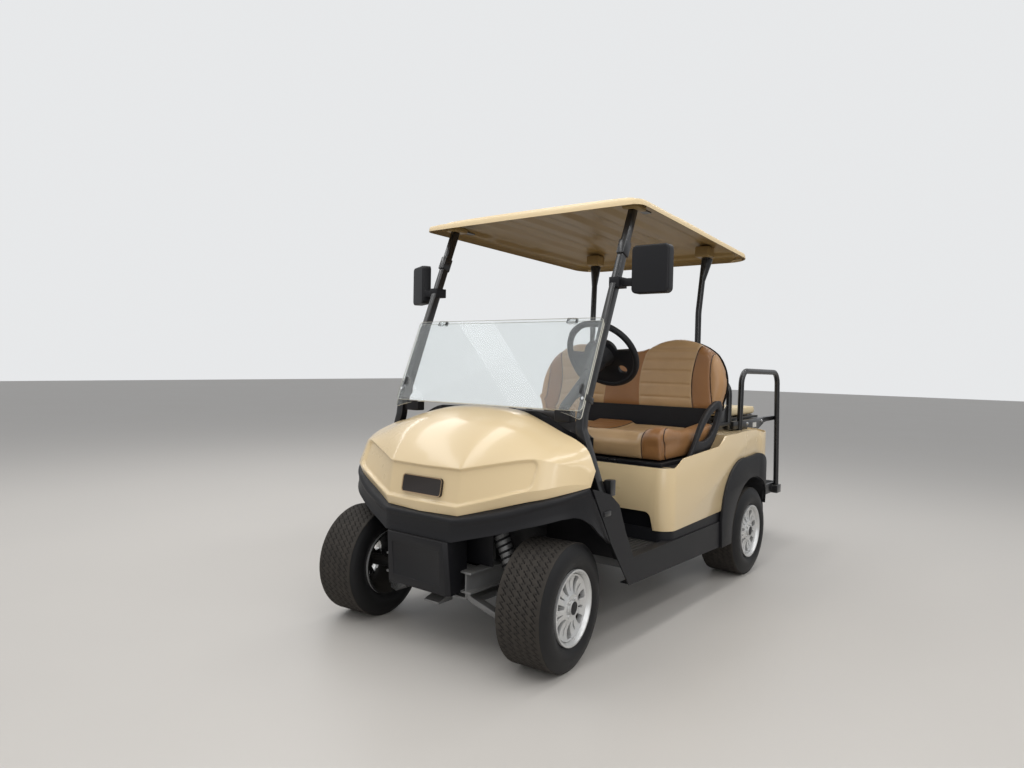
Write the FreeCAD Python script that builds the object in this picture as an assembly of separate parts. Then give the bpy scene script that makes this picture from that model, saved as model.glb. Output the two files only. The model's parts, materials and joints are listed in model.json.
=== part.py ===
import FreeCAD, Part
import math
import os

# A four-seat electric golf cart: a ladder frame on four wheels, a plastic front cowl and rear body,
# a bench that tips forward over the batteries, a rear-facing seat that flips over into a cargo
# deck, a canopy on four struts and a folded two-panel windshield.
# Millimetres. X runs to the cart's left, Y to its rear, Z up from the ground.
# Y counts from the front kingpins here. Every piece is shifted at export, so that the origin lies
# on the ground under the middle of the cart.

V = FreeCAD.Vector

# Overall
wheelbase = 1664.0
rearOverhang = 1008.0      # rear axle to the lip of the footplate
bodyHalf = 600.0           # half width over sills and rear body
drawnHalf = 600.0          # half width that the front's outlines are drawn for
floorTop = 335.0           # top of the floor mat
canopyFrontZ = 1723.0      # lower rim of the canopy at its front corners
canopyRearZ = 1667.0       # lower rim of the canopy at its rear corners

# Wheels and steering
trackFront = 928.0
trackRear = 1008.0
tyreRadius = 228.6
tyreHalf = 106.0
rimRadius = 127.0          # bead seat of a ten-inch rim
rimHalf = 101.0
steerRest = 5.4            # degrees that the front wheels stand turned to the left
kingpinX = 325.0
kingpinRadius = 12.0
spindleRadius = 15.0
steerArm = 115.0           # kingpin to tie-rod centre
rackZ = 196.0
wheelAngle = 36.0          # elevation of the steering column's axis
wheelHub = (250.0, 698.0, 1141.0)

# Walls and clearances
shellWall = 5.0            # moulded body panels
seatGap = 0.3              # between pieces that rest on each other
shaftGap = 0.05            # radial play of a shaft in its bore

# Lengthways places. What lies behind the cab's floor moves with the rear axle
rearAxleY = wheelbase
seatFront = rearAxleY - 974    # front face of the rear body
cushionRear = seatFront + 602
rearEnd = rearAxleY + rearOverhang
# The tread of the turned right front wheel is the foremost point
turn = math.radians(steerRest)
treadHalf = tyreHalf - 22
frontEnd = -(trackFront / 2 - kingpinX + treadHalf) * math.sin(turn) - tyreRadius * math.cos(turn)
midY = round((frontEnd + rearEnd) / 2, 1)
stretch = bodyHalf / drawnHalf

parts = {}


def box(x0, x1, y0, y1, z0, z1):
    return Part.makeBox(x1 - x0, y1 - y0, z1 - z0, V(x0, y0, z0))


def cyl(radius, start, end):
    start, end = V(*start), V(*end)
    return Part.makeCylinder(radius, (end - start).Length, start, end - start)


def fused(shapes):
    body = shapes[0]
    if len(shapes) > 1:
        body = body.fuse(shapes[1:])
    return body.removeSplitter()


def mirrored(shape):
    return shape.mirror(V(0, 0, 0), V(1, 0, 0))


def pair(shape):
    """The piece and its mirror image on the other side of the cart."""
    return [shape, mirrored(shape)]


def side_prism(points, x0, x1):
    """A closed outline of (y, z) points, extruded along X."""
    wire = Part.makePolygon([V(x0, y, z) for y, z in points + points[:1]])
    return Part.Face(wire).extrude(V(x1 - x0, 0, 0))


def plan_prism(points, z0, z1):
    """A closed outline of (x, y) points, extruded along Z."""
    wire = Part.makePolygon([V(x, y, z0) for x, y in points + points[:1]])
    return Part.Face(wire).extrude(V(0, 0, z1 - z0))


def outline(moves, place):
    """A closed wire of lines and arcs. A move is an end point, or a middle and an end point."""
    edges = []
    here = place(*moves[-1][-2:])
    for move in moves:
        end = place(*move[-2:])
        if len(move) == 2:
            edges.append(Part.LineSegment(here, end).toShape())
        else:
            edges.append(Part.Arc(here, place(*move[:2]), end).toShape())
        here = end
    return Part.Wire(edges)


def symmetric(half):
    """Closes a half outline of moves, from the top centre to the bottom centre, about x = 0."""
    points = [half[0][-2:]]
    back = []
    for move in half[1:]:
        start, points = points[-1], points + [move[-2:]]
        flipped = (-start[0], start[1])
        back.insert(0, flipped if len(move) == 2 else (-move[0], move[1]) + flipped)
    return half[1:] + back


def rounded_path(points, bend):
    """Straight runs joined by tangent arcs of the radius bend, or of one radius per corner."""
    pts = [V(*p) for p in points]
    edges = []
    here = pts[0]
    for i in range(1, len(pts) - 1):
        radius = bend[i - 1] if isinstance(bend, list) else bend
        back = (pts[i - 1] - pts[i]).normalize()
        ahead = (pts[i + 1] - pts[i]).normalize()
        half = back.getAngle(ahead) / 2
        inward = (back + ahead).normalize()
        start = pts[i] + back * (radius / math.tan(half))
        end = pts[i] + ahead * (radius / math.tan(half))
        mid = pts[i] + inward * (radius / math.sin(half) - radius)
        edges.append(Part.LineSegment(here, start).toShape())
        edges.append(Part.Arc(start, mid, end).toShape())
        here = end
    edges.append(Part.LineSegment(here, pts[-1]).toShape())
    return Part.Wire(edges)


def bent_bar(points, radius, bend):
    """A round bar along a path with rounded corners."""
    path = rounded_path(points, bend)
    start, along = V(*points[0]), V(*points[1]) - V(*points[0])
    ring = Part.Wire([Part.makeCircle(radius, start, along)])
    return path.makePipeShell([ring], True, False)


def turned(profile, centre, axis=V(1, 0, 0)):
    """Revolves a closed profile of (along X, radius) moves about an axis along X."""
    wire = outline(profile, lambda a, r: V(a, 0, r))
    ring = Part.Face(wire).revolve(V(0, 0, 0), V(1, 0, 0), 360)
    ring.translate(V(*centre))
    return ring


def save(name, *solids):
    parts[name] = list(solids)


# Wheels. Profiles are (distance outboard of the wheel plane, radius) and are made at the origin.
def make_tyre():
    shoulder = tyreRadius - 14
    widest = (rimRadius + tyreRadius) / 2 - 8
    wall = 11.0
    bead = rimHalf - 12
    return turned([
        (-bead, rimRadius + 9),
        (-tyreHalf, widest, -tyreHalf + 9, shoulder - 6),
        (-treadHalf, tyreRadius),
        (treadHalf, tyreRadius),
        (tyreHalf - 9, shoulder - 6),
        (tyreHalf, widest, bead, rimRadius + 9),
        (bead, rimRadius),
        (bead - 16, rimRadius),
        (tyreHalf - wall, widest, tyreHalf - 26, shoulder - 12),
        (-tyreHalf + 26, shoulder - 12),
        (-tyreHalf + wall, widest, -bead + 16, rimRadius),
        (-bead, rimRadius),
    ], (0, 0, 0))


spokePairs = 7
capRadius = 25.0
hubRadius = 47.0
discOuter = 112.0


def make_rim():
    bead = rimHalf - 12
    barrel = turned([
        (-rimHalf, rimRadius + 9),
        (-bead, rimRadius + 9),
        (-bead, rimRadius),
        (-bead + 16, rimRadius),
        (-44, 112),
        (44, 112),
        (bead - 16, rimRadius),
        (bead, rimRadius),
        (bead, rimRadius + 9),
        (rimHalf, rimRadius + 9),
        (rimHalf, rimRadius + 2),
        (bead - 4, rimRadius - 6),
        (44, 105),
        (-44, 105),
        (-bead + 4, rimRadius - 6),
        (-rimHalf, rimRadius + 2),
    ], (0, 0, 0))
    disc = turned([
        (22, spindleRadius + shaftGap),
        (rimHalf - 14, spindleRadius + shaftGap),
        (rimHalf - 14, capRadius + 4),
        (rimHalf - 10, hubRadius),
        (rimHalf - 22, 84, rimHalf - 14, 118),
        (rimHalf - 34, 118),
        (rimHalf - 42, 84, 58, hubRadius),
        (22, hubRadius),
    ], (0, 0, 0))
    cap = cyl(capRadius, (rimHalf - 14, 0, 0), (rimHalf - 4, 0, 0))
    windows = []
    # A wide pocket between two pairs of spokes, then the narrow slot inside a pair:
    # angle from the pair's middle, inner half width, outer half width, inner and outer radius
    for turn, inner, outer, low, high in ((0.0, 2.5, 5.0, 58, 104), (0.5, 5.0, 17.0, 52, discOuter)):
        blade = [(-inner, low), (inner, low), (outer, high - 5), (outer - 3, high),
                 (3 - outer, high), (-outer, high - 5)]
        cutter = side_prism(blade, 30, rimHalf)
        for i in range(spokePairs):
            window = cutter.copy()
            window.rotate(V(0, 0, 0), V(1, 0, 0), (i + turn) * 360 / spokePairs)
            windows.append(window)
    return fused([barrel, disc.cut(windows), cap])


tyre = make_tyre()
rim = make_rim()
# name, side (+1 left), distance of the wheel plane from the middle, y, turned with the steering
for name, side, plane, y, steered in (
        ("front_left", 1, trackFront / 2, 0, True), ("front_right", -1, trackFront / 2, 0, True),
        ("rear_left", 1, trackRear / 2, rearAxleY, False),
        ("rear_right", -1, trackRear / 2, rearAxleY, False)):
    for kind, shape in (("tyre", tyre), ("rim", rim)):
        piece = shape.copy() if side > 0 else mirrored(shape)
        piece.translate(V(side * plane, y, tyreRadius))
        if steered:
            piece.rotate(V(side * kingpinX, 0, 0), V(0, 0, 1), steerRest)
        save(kind + "_" + name, piece)


# Steering knuckles: a sleeve on the kingpin, the wheel's spindle and the arm to the tie rod
sleeveRadius = 22.0
sleeveLow, sleeveHigh = 158.0, 300.0
armThick = 12.0
ballRadius = 13.0
hubInner = trackFront / 2 + 22


def make_knuckle(side):
    x = side * kingpinX
    sleeve = cyl(sleeveRadius, (x, 0, sleeveLow), (x, 0, sleeveHigh))
    spindle = cyl(spindleRadius, (x, 0, tyreRadius),
                  (side * (trackFront / 2 + rimHalf - 15), 0, tyreRadius))
    collar = cyl(spindleRadius + 9, (x + side * 10, 0, tyreRadius),
                 (side * (hubInner - 0.5), 0, tyreRadius))
    arm = box(x - 14, x + 14, 0, steerArm, rackZ - 10 - armThick, rackZ - 10)
    eye = cyl(ballRadius + 3, (x, steerArm, rackZ - 10 - armThick), (x, steerArm, rackZ - 10))
    body = fused([sleeve, spindle, collar, arm, eye])
    body = body.cut(cyl(kingpinRadius + shaftGap, (x, 0, sleeveLow - 5), (x, 0, sleeveHigh + 5)))
    body.rotate(V(x, 0, 0), V(0, 0, 1), steerRest)
    return body


save("knuckle_left", make_knuckle(1))
save("knuckle_right", make_knuckle(-1))

# Steering rack with its tie rods, shifted to where the turned wheels hold it
rackRadius = 10.0
rackHousing = 140.0
rackShift = -steerArm * math.sin(turn)
rodEnds = [(side * kingpinX + rackShift, steerArm, rackZ) for side in (-1, 1)]
rod = [cyl(rackRadius, rodEnds[0], rodEnds[1])]
for x, y, z in rodEnds:
    rod.append(cyl(ballRadius, (x, y, rackZ - 10 + seatGap), (x, y, rackZ + 12)))
save("steering_rack", fused(rod))

gearX = 110.0
housing = cyl(rackRadius + 9, (-rackHousing, steerArm, rackZ), (rackHousing, steerArm, rackZ))
gear = box(gearX - 26, gearX + 26, steerArm - 26, steerArm + 26, rackZ - 24, rackZ + 26)
housing = fused([housing, gear])
housing = housing.cut(cyl(rackRadius + shaftGap, (-200, steerArm, rackZ), (200, steerArm, rackZ)))
save("steering_gear", housing)

# Steering column: a jacket from the dash to the wheel and a lower shaft to the steering gear
axis = V(0, math.cos(math.radians(wheelAngle)), math.sin(math.radians(wheelAngle)))
hub = V(*wheelHub)
columnLength = 492.0
columnTop = hub - axis * 62
columnFoot = hub - axis * columnLength
columnRadius = 22.0
wheelShaft = 9.0
jacket = Part.makeCylinder(columnRadius, columnLength - 62, columnFoot, axis)
jacket = jacket.fuse(Part.makeCone(30, 44, 70, columnTop - axis * 70, axis))
jacket = jacket.cut(Part.makeCylinder(wheelShaft + shaftGap, 120, columnTop - axis * 110, axis))
lowerPath = ((columnFoot.x, columnFoot.y, columnFoot.z), (gearX, steerArm, rackZ + 26))
save("steering_column", jacket.fuse(cyl(9, *lowerPath)).cut(gear))
columnRoom = Part.makeCylinder(columnRadius + 2, columnLength, columnFoot, axis)
shaftRoom = cyl(13, *lowerPath)

# Steering wheel, built flat about the origin and then tipped onto the column's axis
wheelRadius = 163.0
rimTube = 14.0
gripRing = Part.makeTorus(wheelRadius, rimTube)
pad = outline(symmetric([(0, 70), (60, 62, 78, 20), (wheelRadius - 4, 26), (wheelRadius - 2, -12),
                         (wheelRadius * 0.78, -wheelRadius * 0.62, 0, 4 - wheelRadius)]),
              lambda x, y: V(x, y, -8))
pad = Part.Face(pad).extrude(V(0, 0, 16))
for side in (-1, 1):
    hole = cyl(22, (side * 82, -78, -20), (side * 82, -78, 20))
    pad = pad.cut(hole)
boss = Part.makeCone(34, 62, 60, V(0, 0, -60), V(0, 0, 1))
wheel = fused([gripRing, pad, boss, cyl(66, (0, -8, 0), (0, -8, 24)),
               cyl(wheelShaft, (0, 0, -160), (0, 0, -50))])
wheel.rotate(V(0, 0, 0), V(1, 0, 0), 90)
wheel = wheel.mirror(V(0, 0, 0), V(0, 1, 0))
wheel.rotate(V(0, 0, 0), V(1, 0, 0), wheelAngle)
wheel.translate(hub)
save("steering_wheel", wheel)

# Chassis: two I-section rails that rise over the rear axle, cross members, outriggers and deck
railX = 200.0
railWidth = 50.0
railLow, railHigh = 245.0, 325.0
railKick = 140.0
railFront, railRear = -150.0, rearAxleY + 396
kickFront = rearAxleY - 364    # where the rails start to rise over the axle
flange = 8.0
batteryFoot = railHigh + 2
deckTop = floorTop - 8
floorFront = 372.0
bumperBack = -100.0         # cross member that carries the bumper
subframeHalf, subframeLow = 150.0, 196.0
armHalf = 86.0              # half the spread of a lower arm's two inner pivots
springX = 290.0
springFront, springRear = rearAxleY - 319, rearAxleY + 321
axleTube = 38.0
springTop = tyreRadius + axleTube + 26
eyeRadius = 13.0
eyeZ = springTop + 38


def rail_outline(inset):
    """Side view of a rail, drawn in by inset above and below."""
    low, high = railLow + inset, railHigh - inset
    return [(railFront, low), (kickFront + 30, low), (kickFront + 140, low + railKick),
            (railRear, low + railKick), (railRear, high + railKick),
            (kickFront + 105, high + railKick), (kickFront, high), (railFront, high)]


def make_chassis():
    rail = side_prism(rail_outline(0), railX - railWidth / 2, railX + railWidth / 2)
    inside = side_prism(rail_outline(flange), railX - railWidth / 2, railX - 3)
    outside = side_prism(rail_outline(flange), railX + 3, railX + railWidth / 2)
    pieces = pair(rail.cut([inside, outside]))
    kickLow, kickHigh = railLow + railKick, railHigh + railKick
    # y start, y end, z low, z high, half length of each cross member
    for y0, y1, z0, z1, half in (
            (bumperBack, bumperBack + 40, railLow, railHigh, railX),
            (steerArm - 22, steerArm + 22, rackZ + 26, railLow, railX + railWidth / 2),
            (floorFront, floorFront + 40, railLow, railHigh, railX),
            (seatFront + 30, seatFront + 70, railLow, railHigh, railX),
            (kickFront - 80, kickFront - 40, railLow, railHigh, railX),
            (springFront - 10, springFront + 20, eyeZ + eyeRadius, kickHigh - 50, springX + 25),
            (springRear - 20, springRear + 10, kickLow, kickHigh, springX + 25)):
        pieces.append(box(-half, half, y0, y1, z0, z1))
    for side in (-1, 1):
        inner, outer = sorted((side * (railX + 20), side * (bodyHalf - 20)))
        for y in (floorFront + 28, seatFront + 30, kickFront - 100):
            pieces.append(box(inner, outer, y, y + 40, railHigh - 38, railHigh))
        inner, outer = sorted((side * (springX - 25), side * (springX + 25)))
        pieces.append(box(inner, outer, springRear - 10, springRear + 10, eyeZ + eyeRadius, kickLow))
        inner, outer = sorted((side * (subframeHalf - 8), side * subframeHalf))
        pieces.append(box(inner, outer, -armHalf, armHalf, subframeLow, railLow + 5))
        inner, outer = sorted((side * subframeHalf, side * (railX - 24)))
        pieces.append(box(inner, outer, -armHalf, armHalf, railLow, railLow + 5))
        inner, outer = sorted((side * 176, side * 194))
        pieces.append(box(inner, outer, -30, 30, railHigh - 4, 530))
    pieces.append(box(-subframeHalf, subframeHalf, -armHalf, armHalf, subframeLow, subframeLow + 6))
    # the tab under the bumper
    pieces.append(side_prism([(-armHalf, subframeLow + 6), (-150, 182), (-150, 175),
                              (-armHalf + 14, 175), (-armHalf + 14, subframeLow + 6)], -10, 66))
    return fused(pieces).cut(shaftRoom)


save("chassis_frame", make_chassis())

# Sheets on the frame: the cab's floor and the battery tray
deckHalf = bodyHalf - 14
trayHalf = 420.0
deckFoot = railHigh + seatGap
save("floor_deck", box(-deckHalf, deckHalf, floorFront, seatFront + 70 - seatGap, deckFoot, deckTop),
     box(-trayHalf, trayHalf, seatFront + 70, kickFront, deckFoot, batteryFoot))

# Front suspension, both sides in one node: lower arm, kingpin in its clevis, coil-over
def make_front_suspension():
    plan = [(subframeHalf, 1 - armHalf), (176, 1 - armHalf), (338, -20), (338, 20),
            (176, armHalf - 1), (subframeHalf, armHalf - 1)]
    slope = [(subframeHalf, 202), (282, 128), (338, 128), (338, 146), (290, 146), (subframeHalf, 224)]
    wire = Part.makePolygon([V(x, -armHalf, z) for x, z in slope + slope[:1]])
    arm = Part.Face(wire).extrude(V(0, 2 * armHalf, 0)).common(plan_prism(plan, 120, 230))
    arm = arm.cut(plan_prism([(182, -50), (262, -19), (262, 19), (182, 50)], 120, 230))
    pin = cyl(kingpinRadius, (kingpinX, 0, 140), (kingpinX, 0, 318))
    low = box(283, kingpinX + 22, -20, 20, 146, sleeveLow - seatGap)
    high = box(283, kingpinX + 22, -20, 20, sleeveHigh + seatGap, 314)
    web = box(283, 292, -20, 20, 146, 314)
    damper = cyl(20, (300, 0, 312), (214, 0, 512))
    coil = cyl(28, (294, 0, 330), (238, 0, 458))
    return fused([arm, pin, low, high, web, damper, coil])


save("front_suspension", *pair(make_front_suspension()))

# Rear axle with its drive case, leaf springs, motor and batteries

motorX = 56.0              # face of the drive case that the motor bolts to
drumRadius = 88.0          # brake drums inside the rear rims


def make_rear_axle():
    y, z = rearAxleY, tyreRadius
    tube = cyl(axleTube, (-(trackRear / 2 - 118), y, z), (trackRear / 2 - 118, y, z))
    stub = cyl(spindleRadius, (-(trackRear / 2 + rimHalf - 15), y, z),
               (trackRear / 2 + rimHalf - 15, y, z))
    case = cyl(98, (-66, y, z + 6), (motorX, y, z + 6))
    neck = box(-60, motorX, y - 190, y, z - 40, z + 66)
    drums = pair(cyl(drumRadius, (trackRear / 2 - 96, y, z), (trackRear / 2 + 15, y, z)))
    return fused([tube, stub, case, neck] + drums)


save("rear_axle", make_rear_axle())
save("drive_motor", cyl(88, (motorX, rearAxleY - 160, tyreRadius + 20),
                        (252, rearAxleY - 160, tyreRadius + 20)))
save("battery_pack", box(-395, 395, seatFront + 125, kickFront - 55, batteryFoot, 628))


def make_leaf_spring():
    top = springTop
    leaves = []
    # y front, y rear, end height of each leaf, longest first, each 8 thick and nested
    for y0, y1, rise, drop in ((springFront, springRear, 42, 0),
                               (rearAxleY - 234, rearAxleY + 231, 22, 8),
                               (rearAxleY - 144, rearAxleY + 136, 7, 16)):
        tip, middle = top + rise - drop, top - drop
        wire = outline([(rearAxleY, middle, y1, tip), (y1, tip - 8),
                        (rearAxleY, middle - 8, y0, tip - 8), (y0, tip)],
                       lambda y, z: V(springX - 22, y, z))
        leaves.append(Part.Face(wire).extrude(V(44, 0, 0)))
    eyes = [cyl(eyeRadius, (springX - 22, y, eyeZ), (springX + 22, y, eyeZ))
            for y in (springFront, springRear)]
    clamp = box(springX - 30, springX + 30, rearAxleY - 40, rearAxleY + 40, top - 26, top + 10)
    return fused(leaves + eyes + [clamp])


axleClear = cyl(axleTube, (-600, rearAxleY, tyreRadius), (600, rearAxleY, tyreRadius))
save("leaf_springs", *pair(make_leaf_spring().cut(axleClear)))


def plan_shape(half, z0, z1):
    """A solid from half a plan outline of (x, y) moves that starts and ends on the middle line."""
    wire = outline(symmetric(half), lambda x, y: V(x, y, z0))
    return Part.Face(wire).extrude(V(0, 0, z1 - z0))


def side_shape(moves, x0, x1):
    """A solid from a closed side outline of (y, z) moves."""
    wire = outline(moves, lambda y, z: V(x0, y, z))
    return Part.Face(wire).extrude(V(x1 - x0, 0, 0))


# Front cowl: a body lofted through sections at constant x, hollow from below and behind
# x, bottom y z, crease y z, ridge y z, hood middle y z, hood top y z
cowlSections = (
    (0.0, -192, 529, -200, 564, -176, 703, -20, 852, 190, 912),
    (182.0, -182, 533, -192, 564, -172, 705, -20, 846, 190, 902),
    (300.0, -136, 566, -154, 600, -119, 731, -2, 830, 166, 872),
    (425.0, -92, 603, -110, 640, -62, 754, 22, 795, 140, 832),
    (490.0, -58, 620, -72, 654, -28, 745, 38, 781, 128, 812),
    (548.0, 0, 640, -4, 668, 26, 726, 58, 758, 116, 779),
    (592.0, 66, 657, 64, 668, 70, 690, 80, 706, 98, 712))
# The cowl's foot in side view, which the fender's upper edge follows
cowlFoot = [(-240, 513), (-192, 528), (-182, 533), (-136, 566), (-92, 603), (-58, 620), (0, 640),
            (63, 656)]


def cowl_solid(inset, overlap):
    """The cowl's body drawn in by inset, and run on past its open sides by overlap."""
    halves = []
    for drawnX, *rest in cowlSections:
        x = drawnX * stretch
        (yb, zb), (yc, zc), (yr, zr), (ym, zm), (yt, zt) = zip(rest[::2], rest[1::2])
        sideways = 0 if x < 100 else inset * (x / bodyHalf) ** 2
        halves.append(outline([
            (yb + inset, zb - overlap), (yc + inset, zc), (yr + inset, zr - inset * 0.4),
            (ym + inset * 0.7, zm - inset * 0.8, yt + overlap, zt - inset),
            (yt + overlap, zb - overlap)], lambda y, z: V(x - sideways, y, z)))
    centre = Part.makeLoft(halves[:2], True, True)
    side = Part.makeLoft(halves[1:], True, False)
    return fused([centre, side, mirrored(centre), mirrored(side)])


cowlShell = cowl_solid(0, 0).cut(cowl_solid(shellWall, 12))
save("front_cowl", cowlShell)

# Front fender: a skirt that follows the cowl's foot and carries the front wheel arches
fenderPlan = [(0, -205), (170, -205), (430, -110), (545, -30), (588, 50), (600, 150),
              (600, 240), (0, 240)]
fenderInner = [(0, -200), (168, -200), (427, -105), (541, -27), (583, 52), (595, 151),
               (595, 260), (0, 260)]
# Side view: along the lower edge and over the wheel arch, then back along the cowl's foot
fenderSide = [(-240, 435), (-204, 438), (-164, 470), (-112, 513), (-73, 533), (-36, 550), (0, 556),
              (30, 549), (80, 520), (124, 481), (202, 431)] + cowlFoot[::-1]
# The flange that turns in under the cowl's foot
flangeInner = [(0, -160), (160, -160), (400, -72), (512, -2), (545, 62), (548, 150), (548, 260),
               (0, 260)]
fenderPlan, fenderInner, flangeInner = [[(x * stretch, y) for x, y in plan]
                                        for plan in (fenderPlan, fenderInner, flangeInner)]


def fender_band(inner, side):
    """What lies between the fender's plan outline and an inner one, inside a side outline."""
    band = plan_shape(fenderPlan, 420, 670).cut(plan_shape(inner, 410, 680))
    return band.common(side_prism(side, -bodyHalf - 1, bodyHalf + 1))


flangeSide = cowlFoot + [(y, z - shellWall) for y, z in cowlFoot[::-1]]
cowlRoom = cowl_solid(-seatGap, 0)
skirt = fused([fender_band(fenderInner, fenderSide), fender_band(flangeInner, flangeSide)])
save("front_fender", skirt.cut(cowlRoom))

# Lower bumper: a hollow block hung on the rails' nose, open behind, with an inset front face
bumperLow, bumperHigh = 236.0, 436.0
bumperLean = math.atan2(17, bumperHigh - bumperLow)


def bumper_block(inset, rear):
    """The bumper's outer form drawn in by inset, and running back to rear."""
    rings = []
    for half, front, z in ((165, -204, bumperLow + inset), (158, -221, bumperHigh - inset)):
        half, front = half - inset, front + inset
        corner = 14
        points = [(-half, rear), (-half, front + corner), (corner - half, front),
                  (half - corner, front), (half, front + corner), (half, rear)]
        rings.append(Part.makePolygon([V(x, y, z) for x, y in points + points[:1]]))
    return Part.makeLoft(rings, True, True)


bumperInset = side_prism([(-260, 268), (-204.5, 268), (-215, 398), (-260, 398)], -122, 122)
save("front_bumper", bumper_block(0, bumperBack).cut(
    [bumper_block(shellWall, bumperBack + 1), bumperInset]))

# Dash: the top behind the cowl and the face with two glove pockets
dashHalf = bodyHalf - 80
dashLow = 640.0
dashOutline = [(196, 904), (330, 898), (352, 872), (322, dashLow), (196, dashLow)]
dashInner = [(201, 898), (327, 892), (346, 870), (316, 630), (201, 630)]


def dash_front(inset):
    """Seen from the front: level in the middle, falling away towards the sides with the hood."""
    half = dashHalf - inset
    points = [(-half, 600), (half, 600), (half, 862 - inset), (half - 190, 910 - inset),
              (190 - half, 910 - inset), (-half, 862 - inset)]
    wire = Part.makePolygon([V(x, 0, z) for x, z in points + points[:1]])
    return Part.Face(wire).extrude(V(0, 500, 0))


def make_dash():
    shell = side_prism(dashOutline, -dashHalf, dashHalf).common(dash_front(0))
    shell = shell.cut(side_prism(dashInner, -dashHalf, dashHalf).common(dash_front(shellWall)))
    for x0, x1 in ((-440, -160), (-110, 90), (390, 490)):
        pocket = box(x0 - 4, x1 + 4, 240, 336, 706, 824)
        shell = shell.fuse(pocket).cut(box(x0, x1, 244, 360, 710, 820))
    return shell.removeSplitter()


save("dash_panel", make_dash().cut([columnRoom, shaftRoom]))

# Footwell: toe board behind the front wheels, wheel wells and the panel under the seat's front
wellHalf = 236.0
noseWallY = -40.0          # splash wall in front of the suspension towers


def make_footwell():
    toe = side_prism([(floorFront, deckTop), (306, 480), (306, dashLow), (310, dashLow), (310, 481),
                      (floorFront + 5, deckTop)], -dashHalf, dashHalf)
    roof = box(-bodyHalf + 12, bodyHalf - 12, -40, 306, 562, 566)
    roofPlan = [(0, -190), (160, -190), (420, -96), (534, -22), (576, 56), (584, 306), (0, 306)]
    roof = roof.common(plan_shape([(x * stretch, y) for x, y in roofPlan], 540, 600))
    walls = [box(*sorted((side * wellHalf, side * (wellHalf + 4))), 46, 306, 340, 566)
             for side in (-1, 1)]
    nose = box(-wellHalf, wellHalf, noseWallY, noseWallY + 4, railHigh + seatGap, 562)
    return fused([toe, roof, nose] + walls).cut(shaftRoom)


save("footwell", make_footwell())
save("floor_mat", box(20 - bodyHalf, bodyHalf - 20, floorFront + 14, seatFront + 22,
                      deckTop, floorTop))

# Rockers: the sills, rising at the front into the panels behind the front wheels
rockerRear = rearAxleY - 412
rockerSide = [(82, 648), (193, 616), (263, 567), (312, 463), (384, 345), (rockerRear - 6, 345),
              (rockerRear, 220), (351, 242), (206, 432), (70, 648)]


def make_rocker():
    wall = side_prism(rockerSide, bodyHalf - shellWall, bodyHalf)
    tread = box(bodyHalf - 40, bodyHalf, 384, rockerRear - 6, 340, 345)
    tread = tread.cut(box(bodyHalf - 41, bodyHalf - 20, 380, seatFront + 22, floorTop - 5, 340.01))
    foot = side_prism([(360, 246), (rockerRear, 224), (rockerRear, 220), (360, 242)],
                      bodyHalf - 44, bodyHalf)
    return fused([wall, tread, foot])


save("rockers", *pair(make_rocker()))

# Rear body: walls that follow one plan outline, open below, cut away over the rear wheels
bodyRear = railRear
archRadius = tyreRadius + 61
ledgeTop = 656.0           # rim that the bench's base pan rests on
deckZ = 734.0              # deck behind the bench, under the rear seat


def body_plan(grow):
    """Half the plan outline of the rear body, grown outward by grow."""
    half = bodyHalf + grow
    front = seatFront - grow
    rear = bodyRear + grow
    return [(0, front), (half - 70, front), (half - 20.5, front + 20.5, half, front + 70),
            (half, rearAxleY + 96), (half - 34, rear - 110 - grow, half - 110, rear - 30),
            (half - 130, rear - 8, half - 160, rear), (0, rear)]


def from_axle(moves):
    """Side moves whose lengthways places count from the rear axle."""
    return [tuple(v + rearAxleY if i % 2 == 0 else v for i, v in enumerate(move)) for move in moves]


archFootZ = 300.0              # where the trim's inner edge leaves the circle round the wheel
archFootY = math.sqrt(archRadius ** 2 - (archFootZ - tyreRadius) ** 2)
archTrimSide = from_axle([
    (-409, 217), (-416, 350), (-398, 430), (-292, 580, -104, 628), (26, 634), (176, 610, 286, 500),
    (326, 400), (archFootY, archFootZ),
    (0, tyreRadius + archRadius, -archFootY, archFootZ), (-archFootY - 8, 217)])
deckFront = kickFront + 26     # step in the rear body's top, behind the bench
# The bench tips about two short pins at its front edge
hingeY, hingeZ = seatFront + 34, ledgeTop + 8
hingePin = 4.0
hingeBarrel = 7.5
benchHingeX = 300.0


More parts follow.
